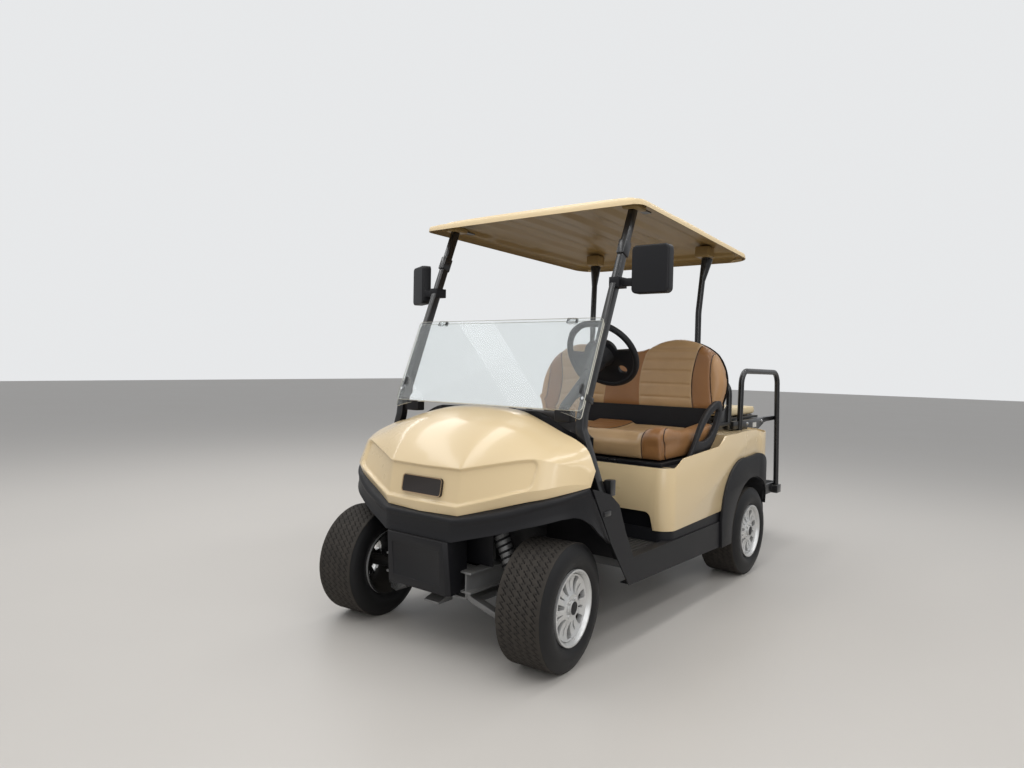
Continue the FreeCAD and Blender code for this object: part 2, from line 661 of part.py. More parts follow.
def make_rear_body():
    top = 770
    walls = plan_shape(body_plan(0), 385, top).cut(plan_shape(body_plan(-shellWall), 380, top + 5))
    wide = bodyHalf + 100
    above = side_shape(from_axle([
        (-1064, ledgeTop), (-919, ledgeTop), (-843, 691), (-446, 712), (-284, 738, -143, 763),
        (56, 763), (131, deckZ + 8), (436, deckZ + 8), (436, 800), (-1064, 800)]), -wide, wide)
    below = side_shape(from_axle([(-929, 385), (-364, 396), (316, 396), (346, 470), (436, 470),
                                  (436, 300), (-929, 300)]), -wide, wide)
    arch = side_shape(archTrimSide, -wide, wide)
    wheelHole = cyl(archRadius, (-wide, rearAxleY, tyreRadius), (wide, rearAxleY, tyreRadius))
    recess = box(130 - bodyHalf, bodyHalf - 130, seatFront - 90, seatFront + 70, 380, 462)
    ledge = plan_shape(body_plan(-shellWall), ledgeTop - 4, ledgeTop)
    ledge = ledge.common(box(-wide, wide, seatFront - 90, deckFront + 4, 600, 700))
    hole = bodyHalf - 76
    slot = bodyHalf - shellWall
    ledge = ledge.cut([box(-hole, hole, seatFront + 18, cushionRear + 8, 640, 660),
                       box(-slot, slot, seatFront + 18, seatFront + 50, 640, 660)])
    deck = plan_shape(body_plan(-shellWall), deckZ - 4, deckZ)
    deck = deck.common(box(-wide, wide, deckFront, bodyRear + 40, 700, 800))
    deck = deck.fuse(box(6 - bodyHalf, bodyHalf - 6, deckFront, deckFront + 4, ledgeTop - 4, deckZ))
    walls = walls.cut([above, below, arch, wheelHole, recess])
    hinges = []
    for x in (-benchHingeX, benchHingeX):
        hinges.append(box(x - 24, x + 24, seatFront + 3, hingeY + 10, ledgeTop - 4, ledgeTop))
        hinges.append(cyl(hingePin, (x - 20, hingeY, hingeZ), (x + 20, hingeY, hingeZ)))
        for ear in (x - 17, x + 17):
            hinges.append(box(ear - 3, ear + 3, hingeY - 6, hingeY + 6, ledgeTop - 4, hingeZ))
            hinges.append(cyl(6, (ear - 3, hingeY, hingeZ), (ear + 3, hingeY, hingeZ)))
    return fused([walls, ledge, deck] + hinges)


save("rear_body", make_rear_body())

trimBand = plan_shape(body_plan(12), 200, 660).cut(plan_shape(body_plan(-shellWall), 190, 670))
trim = trimBand.common(side_shape(archTrimSide, bodyHalf / 2, bodyHalf + 100))
save("arch_trims", *pair(trim))

# Bench: base pan and cushion tip forward together about a hinge at the front edge
panLow, panHigh = ledgeTop + seatGap, 672.0
panFront = seatFront + 26
panHalf = bodyHalf - 56
cushionHalf = panHalf


def make_seat_base():
    pan = box(-panHalf, panHalf, panFront, cushionRear, panLow, panHigh)
    pan = pan.cut(box(19 - panHalf, panHalf - 19, panFront + 20, cushionRear - 20,
                      panLow - 1, panHigh - 5))
    for x in (-benchHingeX, benchHingeX):
        pan = pan.cut(box(x - 26, x + 26, panFront - 1, hingeY + 16, panLow - 1, panHigh + 1))
        pan = pan.fuse([cyl(hingeBarrel, (x - 8, hingeY, hingeZ), (x + 8, hingeY, hingeZ)),
                        box(x - 8, x + 8, hingeY + 4, hingeY + 28, hingeZ - 6, hingeZ + 6)])
        pan = pan.cut(cyl(hingePin + shaftGap, (x - 30, hingeY, hingeZ), (x + 30, hingeY, hingeZ)))
    return pan.removeSplitter()


save("seat_base", make_seat_base())
cushion = side_shape([(panFront + 6, panHigh), (cushionRear, panHigh), (cushionRear, 800),
                      (cushionRear - 12, 812), (seatFront + 300, 790, seatFront + 110, 818),
                      (seatFront + 40, 802, seatFront + 22, 740)], -cushionHalf, cushionHalf)
save("seat_cushion", cushion)

# Backrest with two humps, its shell and the hip restraints
backLean = 9.0
backY = cushionRear + 8
backHalf = [(0, 1183), (95, 1190, 180, 1226), (345, 1250, 500, 1178), (556, 1070, 548, 920),
            (538, 872, 500, 862), (0, 858)]


def lean_back(shape):
    shape.rotate(V(0, backY, 860), V(1, 0, 0), -backLean)
    return shape


def backrest_wire(y, inset):
    """The backrest's outline at y, drawn in by about inset."""
    middle = 1040.0
    wide, high = stretch * (1 - inset / 553.0), 1 - inset / 200.0

    def place(x, z):
        return V(x * wide, y, middle + (z - middle) * high)
    return outline(symmetric(backHalf), place)


def backrest_layers(*sections):
    return Part.makeLoft([backrest_wire(y, inset) for y, inset in sections], True, True)


backCushion = lean_back(backrest_layers((backY, 34), (backY + 12, 12), (backY + 34, 0), (backY + 96, 0)))
backShell = lean_back(backrest_layers((backY + 96, 6), (backY + 112, 16)))
save("backrest_cushion", backCushion)
save("backrest_shell", backShell)

hipOuter = from_axle([(-660, ledgeTop), (-486, 716, -367, 874), (-365, 898), (-386, 928),
                      (-424, 928), (-566, 862, -654, 764), (-750, ledgeTop)])
hipInner = from_axle([(-640, 752), (-507, 762, -406, 880), (-424, 893), (-536, 842, -628, 762)])
hipSide = bodyHalf - 20
hip = side_shape(hipOuter, hipSide - 25, hipSide).cut(side_shape(hipInner, hipSide - 30, hipSide + 5))
save("hip_restraints", *pair(hip))
parts["rear_body"] = [parts["rear_body"][0].cut(pair(hip))]


# Canopy: a domed tray over both seats, open below, tipped down to the rear
canopyFront, canopyRear = 392.0, rearAxleY + 108
canopyHalf = bodyHalf - 16
canopyRise = 84.0
canopyTilt = math.degrees(math.atan2(canopyFrontZ - canopyRearZ, canopyRear - canopyFront))


def canopy_layer(inset, z):
    """One plan section of the canopy, drawn in by inset."""
    half, front, rear = canopyHalf - inset, canopyFront + inset, canopyRear - inset
    ahead, behind, narrow = 40 + inset * 0.5, 130 + inset * 0.2, 50
    bow = 1 - math.sqrt(0.5)
    return outline(symmetric([
        (0, front), (half - ahead, front + 8),
        (half - ahead * bow, front + 8 + ahead * bow, half, front + 8 + ahead),
        (half - narrow, rear - behind),
        (half - narrow - behind * bow, rear - behind * bow, half - narrow - behind, rear),
        (0, rear)]), lambda x, y: V(x, y, z))


def make_canopy():
    # inset and height of each section, from the drip edge to the crown
    outer = [canopy_layer(i, z) for i, z in ((0, 0), (4, 22), (70, 58), (230, canopyRise))]
    inner = [canopy_layer(i, z) for i, z in ((24, -6), (24, 16), (84, 50), (236, canopyRise - 6))]
    cavity = Part.makeLoft(inner, True, True)
    shell = Part.makeLoft(outer, True, True).cut(cavity)
    # bosses over the struts: x, y, half width, half depth, height of the lower face
    for x, y, wide, deep, z in ((strutX + 5, 520, 38, 50, 6), (341, rearStrutY + 31, 44, 44, -2)):
        boss = box(x - wide, x + wide, y - deep, y + deep, z, 80).common(cavity)
        shell = shell.fuse(pair(boss))
    # ribs pressed into the underside, x of each
    for x in (-270, -90, 90, 270):
        shell = shell.fuse(box(x - 35, x + 35, canopyFront + 245, canopyRear - 245, 68, 80))
    shell = shell.removeSplitter()
    shell.translate(V(0, 0, canopyFrontZ))
    shell.rotate(V(0, canopyFront, canopyFrontZ), V(1, 0, 0), -canopyTilt)
    return shell


# Windshield plane, through the folded panel's front face: y, z of its top and foot
glassThick = 5.0
glassGap = 5.0
glassTop = (290.0, 1276.0)
glassFoot = (143.0, 920.0)
glassHalf = bodyHalf - 103
strutX = glassHalf - 13
rearStrutY = rearAxleY - 115
canopy = make_canopy()
glassLean = math.atan2(glassTop[0] - glassFoot[0], glassTop[1] - glassFoot[1])
glassHigh = math.hypot(glassTop[0] - glassFoot[0], glassTop[1] - glassFoot[1])

# Front struts: flat channels behind the glass, then out and down beside the cowl into the rockers
strutWide, strutDeep = 26.0, 40.0


def strut_y(z):
    """Middle of a strut, whose front face the lower glass panel touches."""
    back = (2 * glassThick + glassGap) / math.cos(glassLean)
    return glassFoot[0] + (z - glassFoot[1]) * math.tan(glassLean) + back + strutDeep / 2


strutTopZ = 1736.0
strutPath = [(strutX + 5, strut_y(strutTopZ), strutTopZ), (strutX, strut_y(905), 905),
             (strutX, 166, 850), (bodyHalf - 20, 172, 580)]


def make_front_strut():
    path = rounded_path(strutPath, [60, 60])
    start = V(*strutPath[0])
    section = Part.makePolygon([start + V(sx * strutWide / 2, sy * strutDeep / 2, 0)
                                for sx, sy in ((-1, -1), (1, -1), (1, 1), (-1, 1), (-1, -1))])
    return path.makePipeShell([section], True, False)


strut = make_front_strut()
rearStrutRadius = 16.0
rearStrutTopZ = 1662.0
rearStrutX = 329.0
rearStrutPath = [(rearStrutX, rearStrutY, deckZ), (rearStrutX, rearStrutY, 1380),
                 (rearStrutX + 12, rearStrutY + 31, rearStrutTopZ)]
flareRadius = 30.0


def rear_strut_tube(grow):
    """A rear strut with its flared top, made thicker by grow."""
    tube = bent_bar(rearStrutPath, rearStrutRadius + grow, 300)
    flare = Part.makeCone(rearStrutRadius + grow, flareRadius + grow, 120,
                          V(rearStrutX + 8.5, rearStrutY + 20, 1556), V(10, 25, 100))
    return tube.fuse(flare)


strutFoot = box(rearStrutX - 40, rearStrutX + 40, rearStrutY - 40, rearStrutY + 40, deckZ, deckZ + 6)
backArms = [box(rearStrutX - 12, rearStrutX + 12, rearStrutY - 149, rearStrutY, z, z + 26)
            for z in (920, 1120)]
rearStrut = fused([rear_strut_tube(0), strutFoot] + backArms)
rearStrut = rearStrut.cut([backCushion, backShell]).Solids[0]
save("canopy", canopy.cut(pair(strut) + pair(rear_strut_tube(seatGap))))
save("front_struts", *pair(strut))
save("rear_struts", *pair(rearStrut))

# Windshield: the upper panel hangs folded down in front of the lower one
def on_windshield(shape):
    """Moves a shape from y = depth behind the windshield plane and z = height up it to its place."""
    shape.translate(V(0, glassFoot[0], glassFoot[1]))
    shape.rotate(V(0, glassFoot[0], glassFoot[1]), V(1, 0, 0), -math.degrees(glassLean))
    return shape


def glass_panel(depth, half, low, high, drop):
    """A sheet whose front lies depth behind the windshield plane; its corners reach down by drop."""
    foot = [(half * 0.86, low - drop * 0.35, half * 0.6, low)] if drop else []
    wire = outline(symmetric([(0, high), (half, high), (half, low - drop)] + foot + [(0, low)]),
                   lambda x, z: V(x, depth, z))
    return on_windshield(Part.Face(wire).extrude(V(0, glassThick, 0)))


lowerGlass = glass_panel(glassThick + glassGap, glassHalf, 0, glassHigh - 8, 34)
upperGlass = glass_panel(0, glassHalf, 0, glassHigh, 0)
save("windshield_lower", lowerGlass)
save("windshield_upper", upperGlass)

# Rubber blocks hold the glass on the cowl, and two clips join the panels over their upper edges
block = box(glassHalf - 65, glassHalf - 5, 118, 160, 790, 926)
block = block.cut([cowlRoom, lowerGlass, upperGlass, strut]).Solids[0]
save("windshield_blocks", *pair(block))
clip = on_windshield(box(330, 372, -glassThick, 4 * glassThick, glassHigh - 26, glassHigh + 6))
save("windshield_clips", *pair(clip.cut([lowerGlass, upperGlass]).Solids[0]))

# Mirrors: a rounded head on a bracket clamped to each front strut
mirrorX, mirrorY, mirrorZ = bodyHalf + 40, 398.0, 1464.0


def make_mirror():
    head = Part.makeBox(158, 44, 186, V(mirrorX - 79, mirrorY - 22, mirrorZ - 93))
    head = head.makeFillet(20, [e for e in head.Edges
                                if abs(e.tangentAt(e.FirstParameter).y) > 0.9])
    head = head.makeFillet(8, [e for e in head.Edges if abs(e.CenterOfMass.y - mirrorY + 22) < 0.5])
    reach = box(strutX + 24, mirrorX - 70, mirrorY - 10, mirrorY + 12, mirrorZ - 60, mirrorZ - 30)
    clamp = box(strutX - 14, strutX + 30, mirrorY - 34, mirrorY + 34, mirrorZ - 66, mirrorZ - 24)
    return fused([head, reach, clamp]).cut(strut).Solids[0]


save("mirrors", *pair(make_mirror()))

# Rear-facing seat kit. The base frame bolts to the body's deck and the chassis tail
kitHalf = 430.0            # grab bars, left and right of the middle
kitTube = 16.0
kitFront = rearAxleY - 94
kitRailTop = 785.0
kitRailHigh = 43.0
kitRailWide = 28.0
kitRailX = kitHalf - kitTube - kitRailWide / 2
hoopY = rearAxleY + 171
braceY = rearAxleY + 486
plateFront = rearAxleY + 670
plateLow, plateHigh = 292.0, 318.0
earThick = 14.0
kitRear = rearEnd - 82


def make_hoop(radius):
    """The bent bar behind the bench that carries the rear backrest."""
    top = 1045 - kitTube
    return bent_bar([(kitRailX, hoopY, kitRailTop - 20), (kitRailX, hoopY, top),
                     (-kitRailX, hoopY, top), (-kitRailX, hoopY, kitRailTop - 20)], radius, 90)


def make_kit_frame():
    low = kitRailTop - kitRailHigh
    pieces = []
    for side in (-1, 1):
        inner, outer = sorted((side * (kitRailX - kitRailWide / 2), side * (kitRailX + kitRailWide / 2)))
        pieces.append(side_prism([(kitFront, low + 24), (hoopY - 40, low + 24), (hoopY - 40, low),
                                  (kitRear - 320, low), (kitRear - 160, low + 16),
                                  (kitRear, low + 18), (kitRear, kitRailTop),
                                  (kitFront, kitRailTop)], inner, outer))
        inner, outer = sorted((side * (railX - 20), side * (railX + 20)))
        pieces.append(box(inner, outer, bodyRear, plateFront, 400, 440))
        pieces.append(box(inner, outer, plateFront - 40, plateFront, plateLow, 440))
        inner, outer = sorted((side * (railX - 14), side * (railX + 14)))
        pieces.append(box(inner, outer, braceY, braceY + 28, 430, low + 5))
    for y, z in ((kitFront, low + 24), (hoopY + 65, low), (braceY, low)):
        pieces.append(box(-kitRailX, kitRailX, y, y + 28, z, kitRailTop - 14))
    return fused(pieces + [make_hoop(kitTube)])


def make_grab_bar():
    bar = bent_bar([(kitHalf, hoopY + 93, deckZ - 8), (kitHalf, hoopY + 105, 1088 - kitTube),
                    (kitHalf, rearEnd - 112, 1080 - kitTube), (kitHalf, rearEnd - 72, 290)],
                   kitTube, 80)
    near, far = kitHalf - 40, kitHalf + 40
    return bar.cut([box(near, far, rearEnd - 172, rearEnd + 28, 200, plateLow + earThick),
                    box(near, far, hoopY + 55, hoopY + 135, 690, deckZ)])


kitFrame = make_kit_frame()
save("rear_seat_frame", kitFrame)
save("grab_bars", *pair(make_grab_bar()))


# Footplate on two arms, and the flip-over seat: board and cushion hinged at the rear edge
plateHalf = kitHalf - kitTube
flipY, flipZ = rearAxleY + 726, 792.0
flipHalf = kitHalf - 50
pinRadius = 7.0


def make_footplate():
    tray = box(-plateHalf, plateHalf, plateFront, rearEnd, plateLow, plateHigh)
    tray = tray.cut(box(-plateHalf + 4, plateHalf - 4, plateFront + 4, rearEnd - 4,
                        plateLow - 1, plateHigh - 4))
    ear = box(plateHalf, kitHalf + 22, rearEnd - 112, rearEnd - 40, plateLow, plateLow + earThick)
    return fused([tray] + pair(ear))


save("footplate", make_footplate())
board = box(-flipHalf, flipHalf, hoopY + 38, flipY - 26, kitRailTop + seatGap, kitRailTop + 13)
lugs = [box(x - 12, x + 12, flipY - 30, flipY + 10, kitRailTop + seatGap, flipZ + 12) for x in (-300, 300)]
board = fused([board] + lugs).cut(cyl(pinRadius + shaftGap, (-500, flipY, flipZ), (500, flipY, flipZ)))
save("flip_seat_board", board)
save("flip_seat_cushion", box(-flipHalf + 4, flipHalf - 4, hoopY + 41, flipY - 34, kitRailTop + 13, 862))
pin = [cyl(pinRadius, (x - 34, flipY, flipZ), (x + 34, flipY, flipZ)) for x in (-300, 300)]
pinEars = [box(x + dx - 4, x + dx + 4, flipY - 10, flipY + 10, kitRailTop - 24, flipZ + 10)
           for x in (-300, 300) for dx in (-24, 24)]
crossBar = box(-kitRailX + kitRailWide / 2, kitRailX - kitRailWide / 2, flipY - 10, flipY + 18,
               kitRailTop - 24, kitRailTop - 11)
save("flip_seat_hinge", fused([crossBar] + pin + pinEars))
# The rear backrest is a pad slipped over the hoop's top bar
backPadHalf = kitHalf - 90
backPad = box(-backPadHalf, backPadHalf, hoopY - 29, hoopY + 27, 872, 1080)
backPad = backPad.makeFillet(20, [e for e in backPad.Edges if abs(e.tangentAt(e.FirstParameter).y) > 0.9])
save("rear_backrest", backPad.cut(make_hoop(kitTube + seatGap)))

# Pedals on the toe board
pedals = []
for x, wide in ((150, 34), (262, 46)):
    pad = side_prism([(338, 444), (392, 404), (398, 412), (344, 452)], x - wide, x + wide)
    stem = side_prism([(310, 500), (310, 520), (374, 426), (366, 420)], x - 8, x + 8)
    pedals.append(pad.fuse(stem))
save("pedals", *pedals)

os.makedirs("parts", exist_ok=True)
for name, solids in parts.items():
    shape = solids[0] if len(solids) == 1 else Part.makeCompound(solids)
    shape.translate(V(0, -midY, 0))
    shape.exportStep("parts/" + name + ".step")
    print(name, len(solids), round(shape.Volume / 1000.0), "cm3")
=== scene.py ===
import bpy
import bmesh
import json
import math
from mathutils import Matrix, Vector


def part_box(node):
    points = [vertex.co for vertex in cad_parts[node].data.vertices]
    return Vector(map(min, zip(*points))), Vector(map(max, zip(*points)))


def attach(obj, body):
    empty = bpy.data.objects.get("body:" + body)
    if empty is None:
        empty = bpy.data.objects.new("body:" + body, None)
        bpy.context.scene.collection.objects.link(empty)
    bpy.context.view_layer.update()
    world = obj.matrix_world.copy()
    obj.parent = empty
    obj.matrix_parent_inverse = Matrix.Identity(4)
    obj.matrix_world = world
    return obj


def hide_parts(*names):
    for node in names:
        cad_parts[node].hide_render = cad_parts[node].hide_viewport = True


# Looks of a four-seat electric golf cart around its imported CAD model.
# Metres. X runs to the cart's left, Y to its rear, Z up from the ground.

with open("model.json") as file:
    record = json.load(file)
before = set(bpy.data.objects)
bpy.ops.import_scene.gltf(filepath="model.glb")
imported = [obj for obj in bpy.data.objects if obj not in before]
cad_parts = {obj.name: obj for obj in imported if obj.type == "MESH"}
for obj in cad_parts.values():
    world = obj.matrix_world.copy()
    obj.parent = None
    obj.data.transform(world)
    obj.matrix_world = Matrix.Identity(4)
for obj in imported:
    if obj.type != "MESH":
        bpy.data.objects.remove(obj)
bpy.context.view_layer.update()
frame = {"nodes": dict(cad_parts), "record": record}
print("frame loaded:", len(frame["nodes"]), "nodes")

nodeBody = {node: body for body, nodes in frame["record"]["behaviour"]["bodies"].items()
            for node in nodes}
nodeSlot = {row["node"]: row["material_slot"] for row in frame["record"]["subparts"]}
axleY = -1.2117            # the front axle; lengthways places below count from it

# Camera, fitted to the photograph
cameraView = {"place": (1.9387, -2.1268 + axleY, 1.0964), "yaw": 37.95, "pitch": -1.73,
              "roll": 1.14, "lens": 25.447, "sensor": 36.0}


def makeCamera():
    data = bpy.data.cameras.new("photoCamera")
    data.sensor_width = cameraView["sensor"]
    data.lens = cameraView["lens"]
    data.clip_end = 60
    camera = bpy.data.objects.new("photoCamera", data)
    bpy.context.collection.objects.link(camera)
    camera.matrix_world = (
        Matrix.Translation(cameraView["place"])
        @ Matrix.Rotation(math.radians(cameraView["yaw"]), 4, "Z")
        @ Matrix.Rotation(math.radians(90 + cameraView["pitch"]), 4, "X")
        @ Matrix.Rotation(math.radians(cameraView["roll"]), 4, "Z"))
    bpy.context.scene.camera = camera


makeCamera()
print("camera set")


# Node helpers
def link(tree, source, target):
    tree.links.new(source, target)


def addNode(tree, kind, **values):
    # A shader node with some of its properties and unlinked inputs set.
    node = tree.nodes.new(kind)
    for name, value in values.items():
        if name.startswith("in_"):
            node.inputs[name[3:].replace("_", " ")].default_value = value
        else:
            setattr(node, name, value)
    return node


def newGroup(name, inputs, outputs):
    # An empty node group with float or colour sockets, and its two end nodes.
    group = bpy.data.node_groups.new(name, "ShaderNodeTree")
    for socket, value in inputs.items():
        kind = "NodeSocketColor" if isinstance(value, tuple) else "NodeSocketFloat"
        made = group.interface.new_socket(socket, in_out="INPUT", socket_type=kind)
        made.default_value = value
    for socket in outputs:
        group.interface.new_socket(socket, in_out="OUTPUT", socket_type="NodeSocketFloat")
    return group, group.nodes.new("NodeGroupInput"), group.nodes.new("NodeGroupOutput")


def mathNode(tree, operation, first, second=0.5, third=None, clamp=False):
    node = addNode(tree, "ShaderNodeMath", operation=operation, use_clamp=clamp)
    for socket, value in zip(node.inputs, (first, second, third)):
        if isinstance(value, (int, float)):
            socket.default_value = value
        elif value is not None:
            link(tree, value, socket)
    return node.outputs[0]


def surface(name):
    # A new material, its node tree and its shader.
    made = bpy.data.materials.new(name)
    made.use_nodes = True
    return made, made.node_tree, made.node_tree.nodes["Principled BSDF"]


def relief(tree, shader, height, strength):
    bump = addNode(tree, "ShaderNodeBump", in_Strength=strength, in_Distance=0.001)
    link(tree, height, bump.inputs["Height"])
    link(tree, bump.outputs["Normal"], shader.inputs["Normal"])


def mapped(group, ins, kind, sockets=("Scale",), **values):
    # A texture node fed by the object's coordinates and by some of the group's inputs.
    node = addNode(group, kind, **values)
    link(group, addNode(group, "ShaderNodeTexCoord").outputs["Object"], node.inputs["Vector"])
    for name in sockets:
        link(group, ins.outputs[name], node.inputs[name])
    return node


def makeGrain():
    # Fine moulded or leather grain: Height from small cells and noise.
    group, ins, outs = newGroup("grain", {"Scale": 900.0, "Cells": 0.5, "Noise": 0.5}, ["Height"])
    cells = mapped(group, ins, "ShaderNodeTexVoronoi", feature="SMOOTH_F1")
    soft = mapped(group, ins, "ShaderNodeTexNoise", in_Detail=3.0)
    first = mathNode(group, "MULTIPLY", cells.outputs["Distance"], ins.outputs["Cells"])
    second = mathNode(group, "MULTIPLY", soft.outputs["Fac"], ins.outputs["Noise"])
    link(group, mathNode(group, "ADD", first, second), outs.inputs["Height"])
    return group


def makeDust():
    # Dust that settles on faces that look up, in patches: Mask.
    group, ins, outs = newGroup("dust", {"Amount": 0.3, "Scale": 9.0, "Level": 0.0}, ["Mask"])
    patches = mapped(group, ins, "ShaderNodeTexNoise", in_Detail=6.0, in_Roughness=0.65)
    split = addNode(group, "ShaderNodeSeparateXYZ")
    link(group, addNode(group, "ShaderNodeNewGeometry").outputs["Normal"], split.inputs[0])
    up = mathNode(group, "MAXIMUM", split.outputs["Z"], 0.0)
    up = mathNode(group, "ADD", up, ins.outputs["Level"])
    spread = mathNode(group, "MULTIPLY", patches.outputs["Fac"], ins.outputs["Amount"])
    link(group, mathNode(group, "MULTIPLY", up, spread, clamp=True), outs.inputs["Mask"])
    return group


def makeMottle():
    # Slow and fast colour variation in one value round 0.5: Value.
    group, ins, outs = newGroup("mottle", {"Scale": 3.0, "Detail": 5.0}, ["Value"])
    clouds = mapped(group, ins, "ShaderNodeTexNoise", ("Scale", "Detail"), in_Roughness=0.6)
    link(group, clouds.outputs["Fac"], outs.inputs["Value"])
    return group


grainGroup, dustGroup, mottleGroup = makeGrain(), makeDust(), makeMottle()
dustColor, dustRough = (0.20, 0.17, 0.13), 0.3


def placeGroup(tree, group, **values):
    node = tree.nodes.new("ShaderNodeGroup")
    node.node_tree = group
    for name, value in values.items():
        node.inputs[name].default_value = value
    return node


def mixColor(tree, factor, first, second, blend="MIX"):
    node = addNode(tree, "ShaderNodeMix", data_type="RGBA", blend_type=blend)
    for index, value in ((0, factor), (6, first), (7, second)):
        if isinstance(value, (int, float)):
            node.inputs[index].default_value = value
        elif isinstance(value, tuple):
            node.inputs[index].default_value = value + (1,) if len(value) == 3 else value
        else:
            link(tree, value, node.inputs[index])
    return node.outputs[2]


def finish(name, color, rough, shade=0.85, mottle=3.0, grain=None, bump=0.0, dust=0.0,
           dustLevel=0.0, roughSpread=0.08, **sockets):
    # A surface: its colour drifts to shade times itself, with grain bump and settled dust.
    made, tree, shader = surface(name)
    drift = placeGroup(tree, mottleGroup, Scale=mottle).outputs["Value"]
    base = mixColor(tree, drift, tuple(c * shade for c in color), color)
    level = mathNode(tree, "MULTIPLY_ADD", drift, roughSpread, rough - roughSpread / 2)
    if dust > 0:
        mask = placeGroup(tree, dustGroup, Amount=dust, Level=dustLevel).outputs["Mask"]
        base = mixColor(tree, mask, base, dustColor)
        level = mathNode(tree, "ADD", level, mathNode(tree, "MULTIPLY", mask, dustRough), clamp=True)
    link(tree, base, shader.inputs["Base Color"])
    link(tree, level, shader.inputs["Roughness"])
    if grain:
        relief(tree, shader, placeGroup(tree, grainGroup, Scale=grain).outputs["Height"], bump)
    for socket, value in sockets.items():
        shader.inputs[socket.replace("_", " ")].default_value = value
    return made


paints = {
    "body_plastic": finish("creamBody", (0.74, 0.573, 0.333), 0.28, 0.95, 1.5,
                           Coat_Weight=0.45, Coat_Roughness=0.09),
    "black_trim": finish("charcoalPlastic", (0.0085, 0.0085, 0.0105), 0.50, 0.8, 5, 1400, 0.12, 0.08,
                          Specular_IOR_Level=0.32),
    "mat_rubber": finish("matRubber", (0.010, 0.010, 0.010), 0.75, 0.7, 8, 500, 0.2, 0.2),
    "black_steel": finish("powderCoat", (0.009, 0.009, 0.010), 0.28, 0.8, 6, 700, 0.05, 0.12,
                          Coat_Weight=0.25, Coat_Roughness=0.15),
    "frame_aluminium": finish("dullAluminium", (0.30, 0.30, 0.30), 0.5, 0.6, 12, 400, 0.1, 0.5,
                              Metallic=0.7),
    "cast_metal": finish("darkCastings", (0.014, 0.0135, 0.013), 0.65, 0.6, 12, 300, 0.2, 0.25,
                         Specular_IOR_Level=0.3),
    "battery_case": finish("batteryCases", (0.02, 0.02, 0.021), 0.55, 0.8, 6, 800, 0.1, 0.3),
    "seat_vinyl": finish("tanVinyl", (0.47, 0.315, 0.165), 0.40, 0.86, 7, 1100, 0.14,
                         Sheen_Weight=0.05),
    "cream_vinyl": finish("creamVinyl", (0.78, 0.63, 0.38), 0.42, 0.9, 6, 1100, 0.12),
    "deck_board": finish("deckPlate", (0.015, 0.015, 0.016), 0.5, 0.8, 8, 900, 0.1, 0.6),
    "bright_metal": finish("brightClips", (0.6, 0.6, 0.6), 0.25, 0.8, 20, Metallic=1.0),
    "alloy": finish("silverAlloy", (0.66, 0.66, 0.65), 0.33, 0.9, 9, 600, 0.02, 0.06,
                    Metallic=0.6),
    "tyre_rubber": finish("tyreWall", (0.007, 0.007, 0.007), 0.6, 0.7, 10, 700, 0.15, 0.06, 0.1,
                          Specular_IOR_Level=0.28),
}
pipingVinyl = finish("pipingVinyl", (0.030, 0.014, 0.008), 0.5, 0.8, 9)


def makeGlass():
    made, tree, shader = surface("clearSheet")
    drift = placeGroup(tree, mottleGroup, Scale=4.0, Detail=8.0).outputs["Value"]
    link(tree, mathNode(tree, "MULTIPLY", drift, 0.02), shader.inputs["Roughness"])
    shader.inputs["Base Color"].default_value = (0.93, 0.95, 0.95, 1)
    shader.inputs["Transmission Weight"].default_value = 0.95
    shader.inputs["IOR"].default_value = 1.12
    return made


paints["clear_acrylic"] = makeGlass()
print("materials:", len(bpy.data.materials))


def smoothStep(low, high, value):
    t = min(max((value - low) / (high - low), 0.0), 1.0)
    return t * t * (3 - 2 * t)


def spot(x, y, z):
    # A place in millimetres from the front axle, in metres from the cart's middle.
    return Vector((x / 1000, y / 1000 + axleY, z / 1000))


def turnAbout(place, angle, axis):
    # A turn about an axis through a place in metres.
    pivot = Matrix.Translation(place)
    return pivot @ Matrix.Rotation(angle, 4, axis) @ pivot.inverted()


# Meshes of CAD nodes, finished pieces and rounded edges
def meshOf(node):
    # A merged copy of a CAD node's mesh as a bmesh, flat areas as single faces.
    form = bmesh.new()
    form.from_mesh(frame["nodes"][node].data)
    bmesh.ops.remove_doubles(form, verts=form.verts, dist=0.00001)
    bmesh.ops.dissolve_limit(form, angle_limit=math.radians(0.6), verts=form.verts, edges=form.edges)
    return form


def toObject(form, name, node=None, slot=None, body="chassis", paint=None, smoothAngle=35):
    # Makes a bmesh an object that rides on a body. With a node, it stands for that one.
    slot = slot or nodeSlot[node]
    paint = paint or paints[slot]
    mesh = bpy.data.meshes.new(name)
    form.to_mesh(mesh)
    form.free()
    for one in paint if isinstance(paint, list) else [paint]:
        mesh.materials.append(one)
    for face in mesh.polygons:
        face.use_smooth = True
    mesh.set_sharp_from_angle(angle=math.radians(smoothAngle))
    made = bpy.data.objects.new(name, mesh)
    bpy.context.collection.objects.link(made)
    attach(made, nodeBody[node] if node else body)
    if node:
        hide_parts(node)
    return made


def bevelled(form, edges, width, segments=2, clamp=True):
    bmesh.ops.bevel(form, geom=edges, offset=width, affect="EDGES", segments=segments, profile=0.5,
                    clamp_overlap=clamp, material=-1)


def sharpEdges(form, angle=28):
    # The edges of a form that turn by more than angle.
    return [e for e in form.edges if e.is_manifold and e.calc_face_angle(0) > math.radians(angle)]


def rounded(form, width, segments=2, angle=28):
    form.normal_update()
    bevelled(form, sharpEdges(form, angle), width, segments)


def soften(node, width):
    form = meshOf(node)
    bevelled(form, sharpEdges(form), width)
    return toObject(form, node + "_soft", node)


